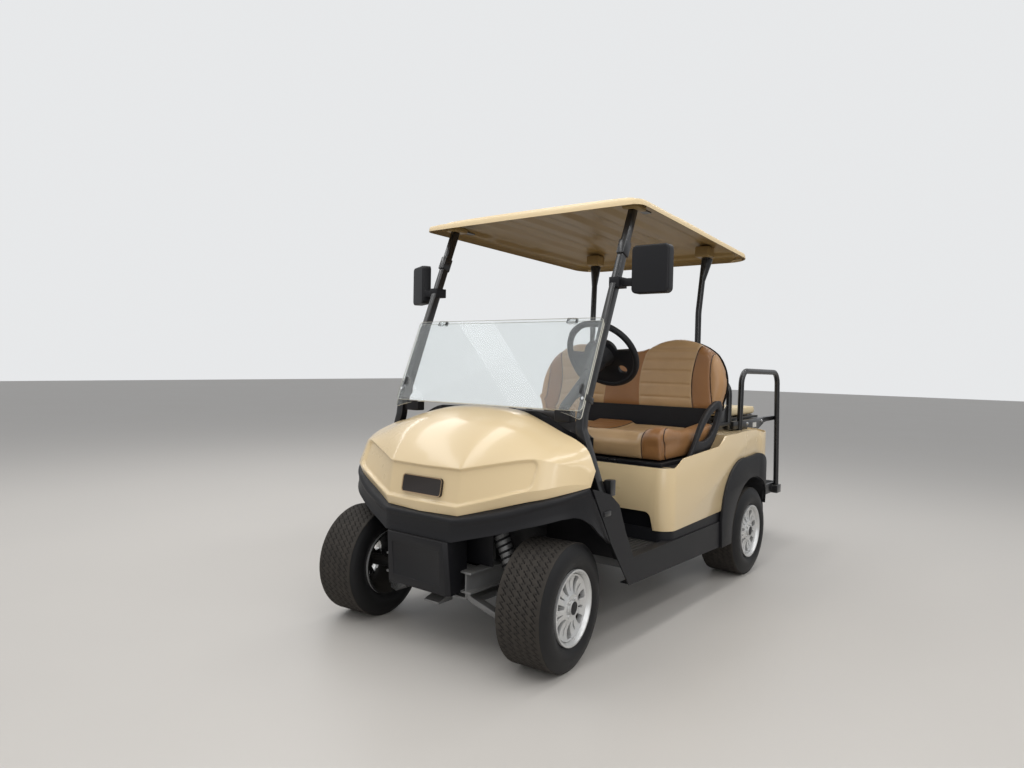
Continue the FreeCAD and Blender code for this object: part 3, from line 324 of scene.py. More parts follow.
# node: width of its rounded edges
softEdges = {
    "chassis_frame": 0.001, "front_suspension": 0.002, "rear_axle": 0.002, "drive_motor": 0.003,
    "battery_pack": 0.006, "steering_gear": 0.002, "steering_column": 0.002, "knuckle_left": 0.002,
    "knuckle_right": 0.002, "front_bumper": 0.005, "steering_wheel": 0.004, "seat_base": 0.003,
    "hip_restraints": 0.009, "rear_seat_frame": 0.002, "flip_seat_board": 0.002, "pedals": 0.003}
for node, width in softEdges.items():
    soften(node, width)

# Rear body: half widths of the foot recess, places and heights of its parts in metres
bodyShape = {"cadRecess": 0.470, "recessTop": 0.505, "recessFoot": 0.523, "recessRear": 0.77,
             "topLow": 0.45, "topHigh": 0.48, "recessCorner": 0.024, "soft": 0.0016,
             "side": 0.5, "shoulderLow": 0.70, "shoulderSpan": (1.21, 1.53), "shoulder": 0.712,
             "rise": 0.046, "ramp": (1.218, 1.304), "earAt": 0.300, "earHalf": 0.026,
             "earLow": 0.6505, "earRear": 0.745, "levels": (0.656, 0.734), "near": 0.001}


def softenBody():
    # Its ledge, deck and hinge ears are black, its foot recess has rounded upper corners
    b, form = bodyShape, meshOf("rear_body")
    for v in form.verts:
        wide, y, z = abs(v.co.x), v.co.y - axleY, v.co.z
        if abs(wide - b["cadRecess"]) < b["near"] and y < b["recessRear"] and z < b["topHigh"]:
            wide = b["recessTop"] if z > b["topLow"] else b["recessFoot"]
            v.co.x = math.copysign(wide, v.co.x)
        if wide > b["side"] and z > b["shoulderLow"] and b["shoulderSpan"][0] < y < b["shoulderSpan"][1]:
            v.co.z = max(z, b["shoulder"] + b["rise"] * smoothStep(*b["ramp"], y))
    top = [e for e in form.edges
           if all(abs(abs(v.co.x) - b["recessTop"]) < b["near"] and v.co.z > b["topLow"]
                  and v.co.y - axleY < b["recessRear"] for v in e.verts)
           and abs(e.verts[0].co.x - e.verts[1].co.x) < b["near"]]
    bevelled(form, top, b["recessCorner"], 5, False)
    bevelled(form, sharpEdges(form), b["soft"])
    for face in form.faces:
        x, y, z = face.calc_center_median()
        ear = abs(abs(x) - b["earAt"]) < b["earHalf"] and z > b["earLow"] and y < axleY + b["earRear"]
        level = face.normal.z > 0.9 and min(abs(z - high) for high in b["levels"]) < b["near"]
        face.material_index = int(ear or level)
    toObject(form, "rear_body_soft", "rear_body", paint=[paints["body_plastic"], paints["black_trim"]])


softenBody()


# Front struts: heights of the bend and of the broad part, sideways places, and how much they grow
strut = {"bend": 0.850, "leg": 0.270, "top": 0.484, "spread": 0.096, "grow": 0.35, "broad": (0.86, 0.96)}
# how far the footplate's face is lifted from this height on, for its turned-down sides
footplateRise, footplateFace = 0.036, 0.305
# the cut that ends the rear legs of the arch trims: a place on it, its normal, where the legs start
archCut = {"wheel": 1.664, "behind": 0.28, "height": 0.342, "normal": (0, -0.25, 1), "from": 0.10}
# the footwell's upper corners, and the half width they are drawn in to
footCorner = {"wide": 0.570, "high": 0.555, "behind": 0.295, "drawn": 0.566}
clipShare = 0.7              # share of their height that the windshield's clips keep
# the passenger's mirror head: its arm's end, where the head starts, and how far it turns to the driver
mirror = {"pivot": (-575, 396, 0), "from": 0.5605, "turn": math.radians(-28)}


def broadenStruts(form):
    for v in form.verts:
        share = min(max((strut["bend"] - v.co.z) / strut["leg"], 0), 1)
        middle = strut["top"] + strut["spread"] * share
        grow = 1 + strut["grow"] * (1 - smoothStep(*strut["broad"], v.co.z)) * (share < 1)
        if v.co.z < strut["broad"][1]:
            v.co.x = math.copysign(middle + (abs(v.co.x) - middle) * grow, v.co.x)


def liftFootplate(form):
    for v in form.verts:
        if v.co.z > footplateFace:
            v.co.z += footplateRise


def cutArches(form):
    wheelY = axleY + archCut["wheel"]
    rear = [v for v in form.verts if v.co.y > wheelY + archCut["from"]]
    chosen = {g for v in rear for g in [v] + v.link_edges[:] + v.link_faces[:]}
    bmesh.ops.bisect_plane(form, geom=list(chosen), plane_no=archCut["normal"], clear_inner=True,
                           plane_co=(0, wheelY + archCut["behind"], archCut["height"]), dist=0.00001)
    bmesh.ops.holes_fill(form, edges=[e for e in form.edges if e.is_boundary], sides=0)
    bmesh.ops.recalc_face_normals(form, faces=form.faces)


def drawFootwell(form):
    for v in form.verts:
        if (abs(v.co.x) > footCorner["wide"] and v.co.z > footCorner["high"]
                and v.co.y - axleY > footCorner["behind"]):
            v.co.x = math.copysign(footCorner["drawn"], v.co.x)


def turnFarHead(form):
    head = [v for v in form.verts if v.co.x < -mirror["from"]]
    bmesh.ops.transform(form, matrix=turnAbout(spot(*mirror["pivot"]), mirror["turn"], "Z"), verts=head)


def lowerClips(form):
    low, high = (c.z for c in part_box("windshield_clips"))
    for v in form.verts:
        v.co.z = (low + high) / 2 + (v.co.z - (low + high) / 2) * clipShare


# node: its change of shape, the width of its rounded edges, and its slot where it isn't the record's
reshaped = {"front_struts": (broadenStruts, 0.003, None), "footplate": (liftFootplate, 0.002, None),
            "arch_trims": (cutArches, 0.003, None), "footwell": (drawFootwell, 0.0015, None),
            "mirrors": (turnFarHead, 0.004, None), "windshield_clips": (lowerClips, 0.003, "clear_acrylic")}
for node, (change, width, slot) in reshaped.items():
    form = meshOf(node)
    change(form)
    rounded(form, width)
    toObject(form, node + "_soft", node, slot)
print("edges softened:", len(softEdges) + len(reshaped) + 1)


def gridForm(columns, rows, place):
    # A grid whose vertices go to place(column, row).
    form = bmesh.new()
    bmesh.ops.create_grid(form, x_segments=columns, y_segments=rows, size=1)
    for v in form.verts:
        v.co = place(round((v.co.x + 1) / 2 * columns), round((v.co.y + 1) / 2 * rows))
    return form


def boxInto(form, low, high, lean=0):
    # Adds a box between two corners in millimetres, leant about its middle.
    made = bmesh.ops.create_cube(form, size=1)["verts"]
    low, high = spot(*low), spot(*high)
    middle, size = (low + high) / 2, high - low
    matrix = turnAbout(middle, lean, "X") @ Matrix.Translation(middle) @ Matrix.Diagonal((*size, 1))
    bmesh.ops.transform(form, matrix=matrix, verts=made)
    return made


def rodInto(form, start, end, radius, sides):
    # Adds a straight round rod between two places in metres.
    start, end = Vector(start), Vector(end)
    along = end - start
    made = bmesh.ops.create_cone(form, cap_ends=True, segments=sides, radius1=radius, radius2=radius,
                                 depth=along.length)["verts"]
    turn = along.to_track_quat("Z", "Y").to_matrix().to_4x4()
    bmesh.ops.transform(form, matrix=Matrix.Translation((start + end) / 2) @ turn, verts=made)


def tubeInto(form, points, radius, sides=10):
    # Adds a capped round tube along a path in metres, by extruding its end face
    points = [Vector(p) for p in points]
    normal = (points[1] - points[0]).orthogonal().normalized()
    ring = bmesh.ops.create_circle(form, cap_ends=True, radius=radius, segments=sides)["verts"]
    cap = ring[0].link_faces[0]
    last = Matrix.Identity(4)
    for i, here in enumerate(points):
        along = points[min(i + 1, len(points) - 1)] - points[max(i - 1, 0)]
        along.normalize()
        normal = (normal - along * normal.dot(along)).normalized()
        turn = Matrix((normal, along.cross(normal), along)).transposed().to_4x4()
        place = Matrix.Translation(here) @ turn
        if i:
            made = bmesh.ops.extrude_face_region(form, geom=[cap])["geom"]
            cap = next(g for g in made if isinstance(g, bmesh.types.BMFace))
            ring = [g for g in made if isinstance(g, bmesh.types.BMVert)]
        bmesh.ops.transform(form, matrix=place @ last.inverted(), verts=ring)
        last = place


def plateInto(form, near, far, outline):
    # Adds a plate between two sideways places in millimetres; its outline gives y and z.
    corners = [bmesh.ops.create_vert(form, co=spot(near, y, z))["vert"][0] for y, z in outline]
    face = bmesh.ops.contextual_create(form, geom=corners)["faces"][0]
    made = bmesh.ops.extrude_face_region(form, geom=[face])["geom"]
    moved = [g for g in made if isinstance(g, bmesh.types.BMVert)]
    bmesh.ops.translate(form, vec=((far - near) / 1000, 0, 0), verts=moved)
    bmesh.ops.recalc_face_normals(form, faces=list({f for v in corners + moved for f in v.link_faces}))


def outward(form, axis=None, sign=1):
    # Faces look outward. In an open form the farthest face along sign times axis decides.
    bmesh.ops.recalc_face_normals(form, faces=form.faces)
    if axis is not None:
        far = max(form.faces, key=lambda f: f.calc_center_median()[axis] * sign)
        if far.normal[axis] * sign < 0:
            bmesh.ops.reverse_faces(form, faces=form.faces)


def everything(form):
    return form.verts[:] + form.edges[:] + form.faces[:]


def mirrorInto(form):
    # Adds the mirror image of everything in a form on the cart's other side.
    made = bmesh.ops.duplicate(form, geom=everything(form))["geom"]
    verts = [g for g in made if isinstance(g, bmesh.types.BMVert)]
    bmesh.ops.scale(form, vec=(-1, 1, 1), verts=verts)
    bmesh.ops.reverse_faces(form, faces=[g for g in made if isinstance(g, bmesh.types.BMFace)])


def alongPath(points, value):
    # Linear value of y at x in a list of (x, y) points.
    for (x0, y0), (x1, y1) in zip(points, points[1:]):
        if value <= x1:
            return y0 + (y1 - y0) * max(0.0, (value - x0)) / (x1 - x0)
    return points[-1][1]


def smoothPath(points, value):
    # Smooth value of y at x in a list of (x, y) points.
    last = len(points) - 1
    slopes = []
    for i in range(last + 1):
        low, high = max(0, i - 1), min(last, i + 1)
        slopes.append((points[high][1] - points[low][1]) / (points[high][0] - points[low][0]))
    value = min(max(value, points[0][0]), points[-1][0])
    for i in range(last):
        (x0, y0), (x1, y1) = points[i], points[i + 1]
        if value <= x1:
            t, gap = (value - x0) / (x1 - x0), x1 - x0
            return ((2 * t ** 3 - 3 * t * t + 1) * y0 + (t ** 3 - 2 * t * t + t) * slopes[i] * gap
                    + (3 * t * t - 2 * t ** 3) * y1 + (t ** 3 - t * t) * slopes[i + 1] * gap)


# Front cowl: the CAD's sections with the sunk front panel and a smooth hood
cowl = {
    # x: foot y z, crease y z, ridge y z, hood middle y z, hood rear y z
    "knots": ((0, -192, 529, -200, 564, -176, 703, -20, 852, 190, 912),
              (182, -182, 533, -192, 564, -172, 705, -20, 846, 190, 902),
              (300, -136, 566, -154, 600, -119, 731, -2, 830, 166, 872),
              (425, -92, 603, -110, 640, -62, 754, 22, 795, 140, 832),
              (490, -58, 620, -72, 654, -28, 745, 38, 781, 128, 812),
              (548, 0, 640, -4, 668, 26, 726, 58, 758, 116, 779),
              (592, 66, 657, 64, 668, 70, 690, 80, 706, 98, 712)),
    "corner": 182, "panelEnd": 452, "panelDepth": 10, "panelRadius": 26, "wall": 0.0035}


def cowlPoint(x, index):
    # The index-th point of the cowl's section at x; front lines are straight to the corner.
    knots, corner, wide = cowl["knots"], cowl["corner"], abs(x)
    y, z = [], []
    for axis, out in ((1, y), (2, z)):
        rows = [(k[0], k[index * 2 + axis]) for k in knots]
        if index < 3 and wide < corner:
            out.append(alongPath(rows, wide))
        elif index < 3:
            out.append(smoothPath(rows[1:], wide))
        else:
            out.append(smoothPath([(-rows[1][0], rows[1][1])] + rows, wide))
    return Vector((x, y[0], z[0]))


def cowlBase(x, part, t):
    # A place on the cowl at x: part 0 foot to crease, 1 crease to ridge, 2 over the hood.
    if part < 2:
        return cowlPoint(x, part).lerp(cowlPoint(x, part + 1), t)
    ridge, middle, rear = (cowlPoint(x, i) for i in (2, 3, 4))
    bend = middle * 2 - (ridge + rear) / 2
    return ridge * (1 - t) ** 2 + bend * (2 * t * (1 - t)) + rear * t * t


def cowlColumns():
    places = list(range(0, 182, 13)) + [182] + list(range(194, 410, 12))
    places += list(range(410, 480, 5)) + list(range(480, 592, 8)) + [592]
    return [-x for x in places[:0:-1]] + places


def makeCowl():
    columns = cowlColumns()
    rows = [(0, t) for t in (0, 0.35, 0.7)]
    rows += [(1, t) for t in (0, 0.03, 0.06, 0.09, 0.12, 0.16, 0.22, 0.32, 0.42, 0.52, 0.62, 0.72,
                              0.8, 0.86, 0.9, 0.93, 0.96, 0.98)]
    rows += [(2, i / 26) for i in range(27)]
    ridgeRow = next(i for i, row in enumerate(rows) if row[0] == 2)
    creaseRow = next(i for i, row in enumerate(rows) if row[0] == 1)
    end, radius = cowl["panelEnd"], cowl["panelRadius"]

    def place(column, row):
        x, (part, t) = columns[column], rows[row]
        here = cowlBase(x, part, t)
        if part == 1:
            tall = (cowlPoint(x, 2) - cowlPoint(x, 1)).length
            across = cowlBase(x + 1, part, t) - cowlBase(x - 1, part, t)
            inward = (cowlPoint(x, 2) - cowlPoint(x, 1)).cross(across).normalized()
            high = tall / 2 - 3
            dx, dz = max(abs(x) - end + radius, 0), max(abs(t * tall - tall / 2) - high + radius, 0)
            far = math.hypot(dx, dz) - radius
            soft = 7 if t > 0.5 else 12
            here = here + inward * (cowl["panelDepth"] * smoothStep(0, soft, -far))
        return spot(*here)
    form = gridForm(len(columns) - 1, len(rows) - 1, place)
    outward(form)
    for side in (-1, 1):
        rim = [v for v in form.verts if abs(v.co.x - side * columns[-1] / 1000) < 1e-6]
        bmesh.ops.contextual_create(form, geom=rim)
    outward(form, 2)
    for row, width in ((ridgeRow, 0.004), (creaseRow, 0.003)):
        places = {tuple(round(c, 5) for c in spot(*cowlBase(x, *rows[row]))) for x in columns}
        marked = {v for v in form.verts if tuple(round(c, 5) for c in v.co) in places}
        edges = [e for e in form.edges if e.verts[0] in marked and e.verts[1] in marked]
        bevelled(form, edges, width, 3)
    bmesh.ops.solidify(form, geom=form.faces, thickness=cowl["wall"])
    toObject(form, "cowl_shell", "front_cowl", smoothAngle=60)


makeCowl()
print("cowl made")

panelWall = 0.003            # thickness of the fender, the black panels and the wheel liners

# Front fender: a skirt round the cowl's foot with a turned-in flange and wheel arches
fender = {
    "plan": ((0, -205), (170, -205), (430, -110), (545, -30), (588, 50), (600, 150), (600, 204)),
    "top": ((-240, 513), (-192, 528), (-182, 533), (-136, 566), (-92, 603), (-58, 620), (0, 640),
            (63, 656), (202, 433)),
    "low": ((-240, 435), (-204, 438), (-164, 470), (-112, 513), (-73, 533), (-36, 549), (0, 555),
            (30, 548), (80, 519), (124, 480), (202, 431)),
    # inward and downward place of each row, from under the cowl to the lower edge
    "rows": ((34, 0), (14, 0), (7, 0.5), (3, 3), (0.8, 8), (0, 15), (1.2, 20), (3.2, 24), (3.6, 28)),
    "lip": 12, "flangeSteps": 8}


def fenderPath():
    # Places along the skirt's plan with their inward directions, for one half.
    places = [(x, -205.0) for x in range(0, 170, 17)] + [(170.0, -205.0)]
    knots = fender["plan"][1:]
    lengths = [0.0]
    for (x0, y0), (x1, y1) in zip(knots, knots[1:]):
        lengths.append(lengths[-1] + math.hypot(x1 - x0, y1 - y0))
    xs = [(s, p[0]) for s, p in zip(lengths, knots)]
    ys = [(s, p[1]) for s, p in zip(lengths, knots)]
    steps = 60
    for i in range(1, steps + 1):
        s = lengths[-1] * i / steps
        places.append((min(smoothPath(xs, s), 599.9), smoothPath(ys, s)))
    return places


def makeFender():
    half = fenderPath()
    path = [(-x, y) for x, y in half[:0:-1]] + half
    rows = fender["rows"]
    count = len(rows) + fender["flangeSteps"]

    def place(column, row):
        x, y = path[column]
        before, after = path[max(column - 1, 0)], path[min(column + 1, len(path) - 1)]
        along = Vector((after[0] - before[0], after[1] - before[1])).normalized()
        inward = Vector((-along.y, along.x))
        low = alongPath(fender["low"], y)
        top = max(alongPath(fender["top"], y), low + 2)
        room = top - low
        if row < len(rows):
            into, down = rows[row]
            down = min(down, room * down / 40)
            into = into if y < 60 else into * 0.35
            px, py = x + inward.x * into, y + inward.y * into
            z = (min(alongPath(fender["top"], py), alongPath(fender["top"], y) + 25) - 1.5
                 if row < 3 and y < 40 else top) - down
            return spot(px, py, z)
        t = (row - len(rows) + 1) / 6
        start = top - min(28, room * 28 / 40)
        if t <= 1:
            into = 3.6 * (1 - smoothStep(0.6, 1, t))
            return spot(x + inward.x * into, y + inward.y * into, start + (low - start) * t)
        into = fender["lip"] * (0.25 if row == count - 2 else 1.0)
        return spot(x + inward.x * into, y + inward.y * into, low - 0.3)
    form = gridForm(len(path) - 1, count - 1, place)
    outward(form, 1, -1)
    bmesh.ops.solidify(form, geom=form.faces, thickness=panelWall)
    toObject(form, "fender_skirt", "front_fender", smoothAngle=50)


makeFender()
print("fender made")


# Wheels: tyres turned from a profile with sawtooth grooves, made at the origin about X
wheel = {
    "radius": 0.2286, "around": 420, "teeth": 60, "grooves": (-62, -31, 0, 31, 62),
    "grooveDeep": 0.0055, "grooveWide": 3.6, "sway": 18.0, "steer": 5.4, "kingpin": 325,
    "planes": {"front_left": (464, 0), "front_right": (-464, 0), "rear_left": (504, 1664),
               "rear_right": (-504, 1664)},
    # distance from the wheel plane, radius, from the inner bead over the tread and back inside
    "side": ((89, 131), (92, 138), (97, 147), (103, 158), (106, 170), (105.5, 181), (103.5, 192),
             (101, 200), (98, 207), (95.5, 212.5), (91, 219), (88, 224), (86.5, 227)),
    "inside": ((78, 216), (95, 196), (96, 168), (84, 140), (73, 127), (89, 127))}


def tyreProfile():
    side = list(wheel["side"])
    tread = [(-84 + 168 * i / 64, 228.6) for i in range(65)]
    outer = [(-a, r) for a, r in side] + tread + side[::-1]
    inside = list(wheel["inside"])
    return outer + inside[::-1] + [(-a, r) for a, r in inside]


def grooveDepth(across, turn):
    # How deep the tread is cut at a place across it and a share of the way round.
    saw = (turn * wheel["teeth"]) % 1.0
    shift = wheel["sway"] * (saw / 0.72 if saw < 0.72 else (1 - saw) / 0.28) - wheel["sway"] / 2
    deep = 0.0
    for place in wheel["grooves"]:
        gap = abs(across - place - shift)
        deep = max(deep, 1 - smoothStep(wheel["grooveWide"] * 0.35, wheel["grooveWide"], gap))
    return deep


def makeTyre(name, plane, y):
    profile = tyreProfile()
    around, count = wheel["around"], len(profile)
    form = bmesh.new()
    bmesh.ops.create_grid(form, x_segments=around, y_segments=count, size=1)
    deepLayer = form.verts.layers.float.new("groove")
    for v in form.verts:
        column = round((v.co.x + 1) / 2 * around)
        row = round((v.co.y + 1) / 2 * count) % count
        across, radius = profile[row]
        angle = math.tau * column / around
        deep = 0.0
        if radius > 228:
            deep = grooveDepth(across, column / around)
            radius -= deep * wheel["grooveDeep"] * 1000
            v[deepLayer] = deep
        elif radius < 226 or abs(across) < 80:
            v[deepLayer] = 2.0
        v.co = Vector((across, math.cos(angle) * radius, math.sin(angle) * radius)) / 1000
    bmesh.ops.remove_doubles(form, verts=form.verts, dist=0.00001)
    outward(form)
    side = 1 if plane > 0 else -1
    place = Matrix.Translation(spot(plane, y, wheel["radius"] * 1000))
    if y == 0:
        place = turnAbout(spot(side * wheel["kingpin"], 0, 0), math.radians(wheel["steer"]), "Z") @ place
    bmesh.ops.transform(form, matrix=place, verts=form.verts)
    node = "tyre_" + name
    toObject(form, node + "_tread", node, paint=tyreRubber, smoothAngle=80)
    return place


def makeTyreRubber():
    # Black side walls and dusty grey-brown tread blocks, from the groove attribute.
    made, tree, shader = surface("treadRubber")
    groove = addNode(tree, "ShaderNodeAttribute", attribute_name="groove").outputs["Fac"]
    clouds = placeGroup(tree, mottleGroup, Scale=26.0, Detail=6.0).outputs["Value"]
    block = mixColor(tree, clouds, (0.017, 0.015, 0.013), (0.052, 0.044, 0.036))
    cut = mathNode(tree, "MINIMUM", groove, 1.0)
    base = mixColor(tree, cut, block, (0.006, 0.006, 0.006))
    wall = mixColor(tree, clouds, (0.004, 0.004, 0.0045), (0.008, 0.0075, 0.008))
    isWall = mathNode(tree, "GREATER_THAN", groove, 1.2)
    link(tree, mixColor(tree, isWall, base, wall), shader.inputs["Base Color"])
    link(tree, mathNode(tree, "MULTIPLY_ADD", isWall, -0.33, 0.85), shader.inputs["Roughness"])
    shader.inputs["Specular IOR Level"].default_value = 0.35
    relief(tree, shader, placeGroup(tree, grainGroup, Scale=900.0).outputs["Height"], 0.15)
    return made


tyreRubber = makeTyreRubber()
wheelPlaces = {}
for name, (plane, y) in wheel["planes"].items():
    wheelPlaces[name] = makeTyre(name, plane, y)
print("tyres made")


# Rims: softened CAD, with lug nuts, a ringed cap and a valve stem; distances from the wheel's middle
rims = {"soft": 0.0016, "barrel": 0.060, "nutCircle": 0.036, "nut": (0.084, 0.0945), "nutRadius": 0.0075,
        "stem": ((0.094, -0.112), (0.105, -0.103)), "stemRadius": 0.0035, "cap": (0.096, 0.0985),
        "capRadius": 0.0235, "ringAt": 0.0982, "ringRadius": 0.0245, "ringWire": 0.0015, "ringFrom": 0.0222}


def makeRim(name, plane):
    node, hub = "rim_" + name, wheelPlaces[name]
    side = 1 if plane > 0 else -1
    rim = soften(node, rims["soft"]).data
    rim.materials.append(paints["cast_metal"])
    for face in rim.polygons:
        out = face.center - hub.translation
        deep = out.x * side < rims["barrel"] and Vector((0, out.y, out.z)).dot(face.normal) < -0.03
        face.material_index = int(deep or face.normal.x * side < -0.3)
    nuts, cap = bmesh.new(), bmesh.new()
    for i in range(4):
        angle = math.tau * (i + 0.5) / 4
        y, z = math.cos(angle) * rims["nutCircle"], math.sin(angle) * rims["nutCircle"]
        rodInto(nuts, *((side * x, y, z) for x in rims["nut"]), rims["nutRadius"], 6)
    rodInto(nuts, *((side * x, 0, z) for x, z in rims["stem"]), rims["stemRadius"], 10)
    rounded(nuts, 0.001)
    rodInto(cap, *((side * x, 0, 0) for x in rims["cap"]), rims["capRadius"], 40)
    ring = bmesh.ops.create_circle(cap, cap_ends=False, radius=rims["ringWire"], segments=10)["verts"]
    bmesh.ops.transform(cap, matrix=Matrix.Translation((side * rims["ringAt"], rims["ringRadius"], 0))
                        @ Matrix.Rotation(math.pi / 2, 4, "X"), verts=ring)
    ringEdges = [e for e in cap.edges if e.verts[0] in ring and e.verts[1] in ring]
    bmesh.ops.spin(cap, geom=ring + ringEdges, cent=(0, 0, 0), axis=(1, 0, 0), angle=math.tau,
                   steps=40, use_merge=True)
    rounded(cap, 0.0006, 2, 60)
    bmesh.ops.remove_doubles(cap, verts=cap.verts, dist=0.00001)
    for form in (nuts, cap):
        outward(form)
        bmesh.ops.transform(form, matrix=hub, verts=form.verts)
    toObject(nuts, node + "_nuts", slot="alloy", body=nodeBody[node])
    made = toObject(cap, node + "_cap", slot="black_trim", body=nodeBody[node],
                    paint=[paints["black_trim"], paints["alloy"]])
    centre = hub @ Vector((side * rims["ringAt"], 0, 0))
    for face in made.data.polygons:
        face.material_index = int((face.center - centre).length > rims["ringFrom"])


for name, (plane, y) in wheel["planes"].items():
    makeRim(name, plane)
print("rims made")


# Cushions
def vinylZones(name, colours, zone):
    # Vinyl whose colour follows zones: zone(tree, x, y, z) counts up the colours.
    made, tree, shader = surface(name)
    split = addNode(tree, "ShaderNodeSeparateXYZ")
    link(tree, addNode(tree, "ShaderNodeTexCoord").outputs["Object"], split.inputs[0])
    wide = mathNode(tree, "ABSOLUTE", split.outputs["X"], 0.0)
    value = zone(tree, wide, split.outputs["Y"], split.outputs["Z"])
    base = colours[0]
    for i, colour in enumerate(colours[1:]):
        base = mixColor(tree, mathNode(tree, "GREATER_THAN", value, i + 0.5), base, colour)
    drift = placeGroup(tree, mottleGroup, Scale=9.0, Detail=6.0).outputs["Value"]
    shaded = mixColor(tree, drift, (0.80, 0.78, 0.75), (1.08, 1.08, 1.08))
    link(tree, mixColor(tree, 1.0, base, shaded, "MULTIPLY"), shader.inputs["Base Color"])
    link(tree, mathNode(tree, "MULTIPLY_ADD", drift, 0.12, 0.30), shader.inputs["Roughness"])
    height = placeGroup(tree, grainGroup, Scale=1100.0).outputs["Height"]
    wrinkle = placeGroup(tree, mottleGroup, Scale=22.0, Detail=3.0).outputs["Value"]
    height = mathNode(tree, "MULTIPLY", height, 0.12)
    height = mathNode(tree, "ADD", height, mathNode(tree, "MULTIPLY", wrinkle, 1.6))
    relief(tree, shader, height, 0.5)
    return made


clothSettings = {"quality": 4, "mass": 0.4, "tension_stiffness": 15, "compression_stiffness": 15,
                 "shear_stiffness": 8, "bending_stiffness": 2.0, "use_pressure": True,
                 "uniform_pressure_force": 4.0, "vertex_group_mass": "held"}
clothSteps = 20


def inflated(form, name, held, cap, voxel):
    # A closed form blown up as cloth between the places that held(co) keeps; gives a bmesh.
    mesh = bpy.data.meshes.new(name + "_start")
    form.to_mesh(mesh)
    form.free()
    start = bpy.data.objects.new(name + "_start", mesh)
    bpy.context.collection.objects.link(start)
    remesh = start.modifiers.new("voxels", "REMESH")
    remesh.mode = "VOXEL"
    remesh.voxel_size = voxel
    smooth = start.modifiers.new("relax", "SMOOTH")
    smooth.iterations = 3
    graph = bpy.context.evaluated_depsgraph_get()
    rest = bpy.data.meshes.new_from_object(start.evaluated_get(graph))
    start.modifiers.clear()
    start.data = rest
    before = [v.co.copy() for v in rest.vertices]
    weights = [held(co) for co in before]
    after = before
    group = start.vertex_groups.new(name="held")
    for i, weight in enumerate(weights):
        group.add([i], weight, "REPLACE")
    cloth = start.modifiers.new("cloth", "CLOTH")
    for setting, value in clothSettings.items():
        setattr(cloth.settings, setting, value)
    cloth.settings.effector_weights.gravity = 0
    cloth.collision_settings.use_collision = False
    for step in range(1, clothSteps + 1):
        bpy.context.scene.frame_set(step)
    graph = bpy.context.evaluated_depsgraph_get()
    blown = start.evaluated_get(graph).to_mesh()
    after = [v.co.copy() for v in blown.vertices]
    bpy.context.scene.frame_set(1)
    result = bmesh.new()
    result.from_mesh(rest)
    result.verts.ensure_lookup_table()
    result.normal_update()
    for i, v in enumerate(result.verts):
        move = after[i] - before[i]
        if move.length > cap:
            move = move.normalized() * cap
        v.co = before[i] + move
    bpy.data.objects.remove(start)
    return result


def raised(form, amount):
    # Moves each vertex along its normal by amount(co), in metres.
    form.normal_update()
    moves = [(v, v.normal * amount(v.co)) for v in form.verts]
    for v, move in moves:
        v.co += move


def copied(node, shrink):
    # The merged mesh of a CAD node, drawn in by shrink metres.
    form = bmesh.new()
    form.from_mesh(frame["nodes"][node].data)
    bmesh.ops.remove_doubles(form, verts=form.verts, dist=0.00001)
    low, high = (Vector(c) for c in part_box(node))
    middle, size = (low + high) / 2, high - low
    for v in form.verts:
        v.co = Vector([m + (c - m) * (1 - 2 * shrink / s)
                       for c, m, s in zip(v.co, middle, size)])
    return form


def subdivided(form):
    bmesh.ops.subdivide_edges(form, edges=form.edges, cuts=1, use_grid_fill=True, smooth=0.3)


def padPiece(form, name, node, skin):
    piece = toObject(form, name, node, paint=skin, smoothAngle=180)
    return piece


# Bench: half widths of its sewn lines and where they lean in, heights, and how far zones rise or drop
bench = {"seam": 0.440, "hump": 0.105, "end": 0.541, "endBack": 0.26, "endFrom": 735, "low": 0.672,
         "tanDrop": 0.016, "cap": 0.013, "bolster": 0.013, "top": (0.74, 0.79), "seamCut": 0.004,
         "seamWide": 0.005, "cutFrom": 0.685}


def benchSeams(co):
    # Distance in metres from the nearest sewn line of the bench cushion.
    wide, behind = abs(co.x), co.y - spot(0, bench["endFrom"], 0).y
    corner = bench["end"] - max(0.0, behind) * bench["endBack"]
    return min(abs(wide - bench["seam"]), abs(wide - bench["hump"]),
               abs(wide - corner) * 0.97, abs(co.z - bench["low"]))


def makeBench():
    form = copied("seat_cushion", 0.010)
    made = inflated(form, "bench", lambda co: 1 - smoothStep(0.004, 0.035, benchSeams(co)) * 0.98,
                    bench["cap"], 0.011)

    def shape(co):
        if co.z < bench["top"][0]:
            return 0.0
        wide = abs(co.x)
        tan = smoothStep(bench["hump"] - 0.01, bench["hump"] + 0.02, wide)
        tan *= 1 - smoothStep(bench["seam"] - 0.03, bench["seam"] + 0.01, wide)
        bolster = smoothStep(bench["seam"] - 0.005, bench["seam"] + 0.05, wide)
        return (bench["bolster"] * bolster - bench["tanDrop"] * tan) * smoothStep(*bench["top"], co.z)
    raised(made, shape)
    subdivided(made)
    raised(made, lambda co: -bench["seamCut"] * math.exp(-(benchSeams(co) / bench["seamWide"]) ** 2)
           * (co.z > bench["cutFrom"]))

    def zone(tree, wide, back, high):
        start = mathNode(tree, "SUBTRACT", back, spot(0, bench["endFrom"], 0).y)
        slant = mathNode(tree, "MULTIPLY", mathNode(tree, "MAXIMUM", start, 0.0), bench["endBack"])
        corner = mathNode(tree, "SUBTRACT", bench["end"], slant)
        value = mathNode(tree, "GREATER_THAN", wide, bench["hump"])
        for line in (bench["seam"], corner):
            value = mathNode(tree, "ADD", value, mathNode(tree, "GREATER_THAN", wide, line))
        return value
    skin = vinylZones("benchVinyl", (vinyl["brown"], vinyl["tan"], vinyl["brown"], vinyl["end"]), zone)
    return padPiece(made, "bench_cushion", "seat_cushion", skin)


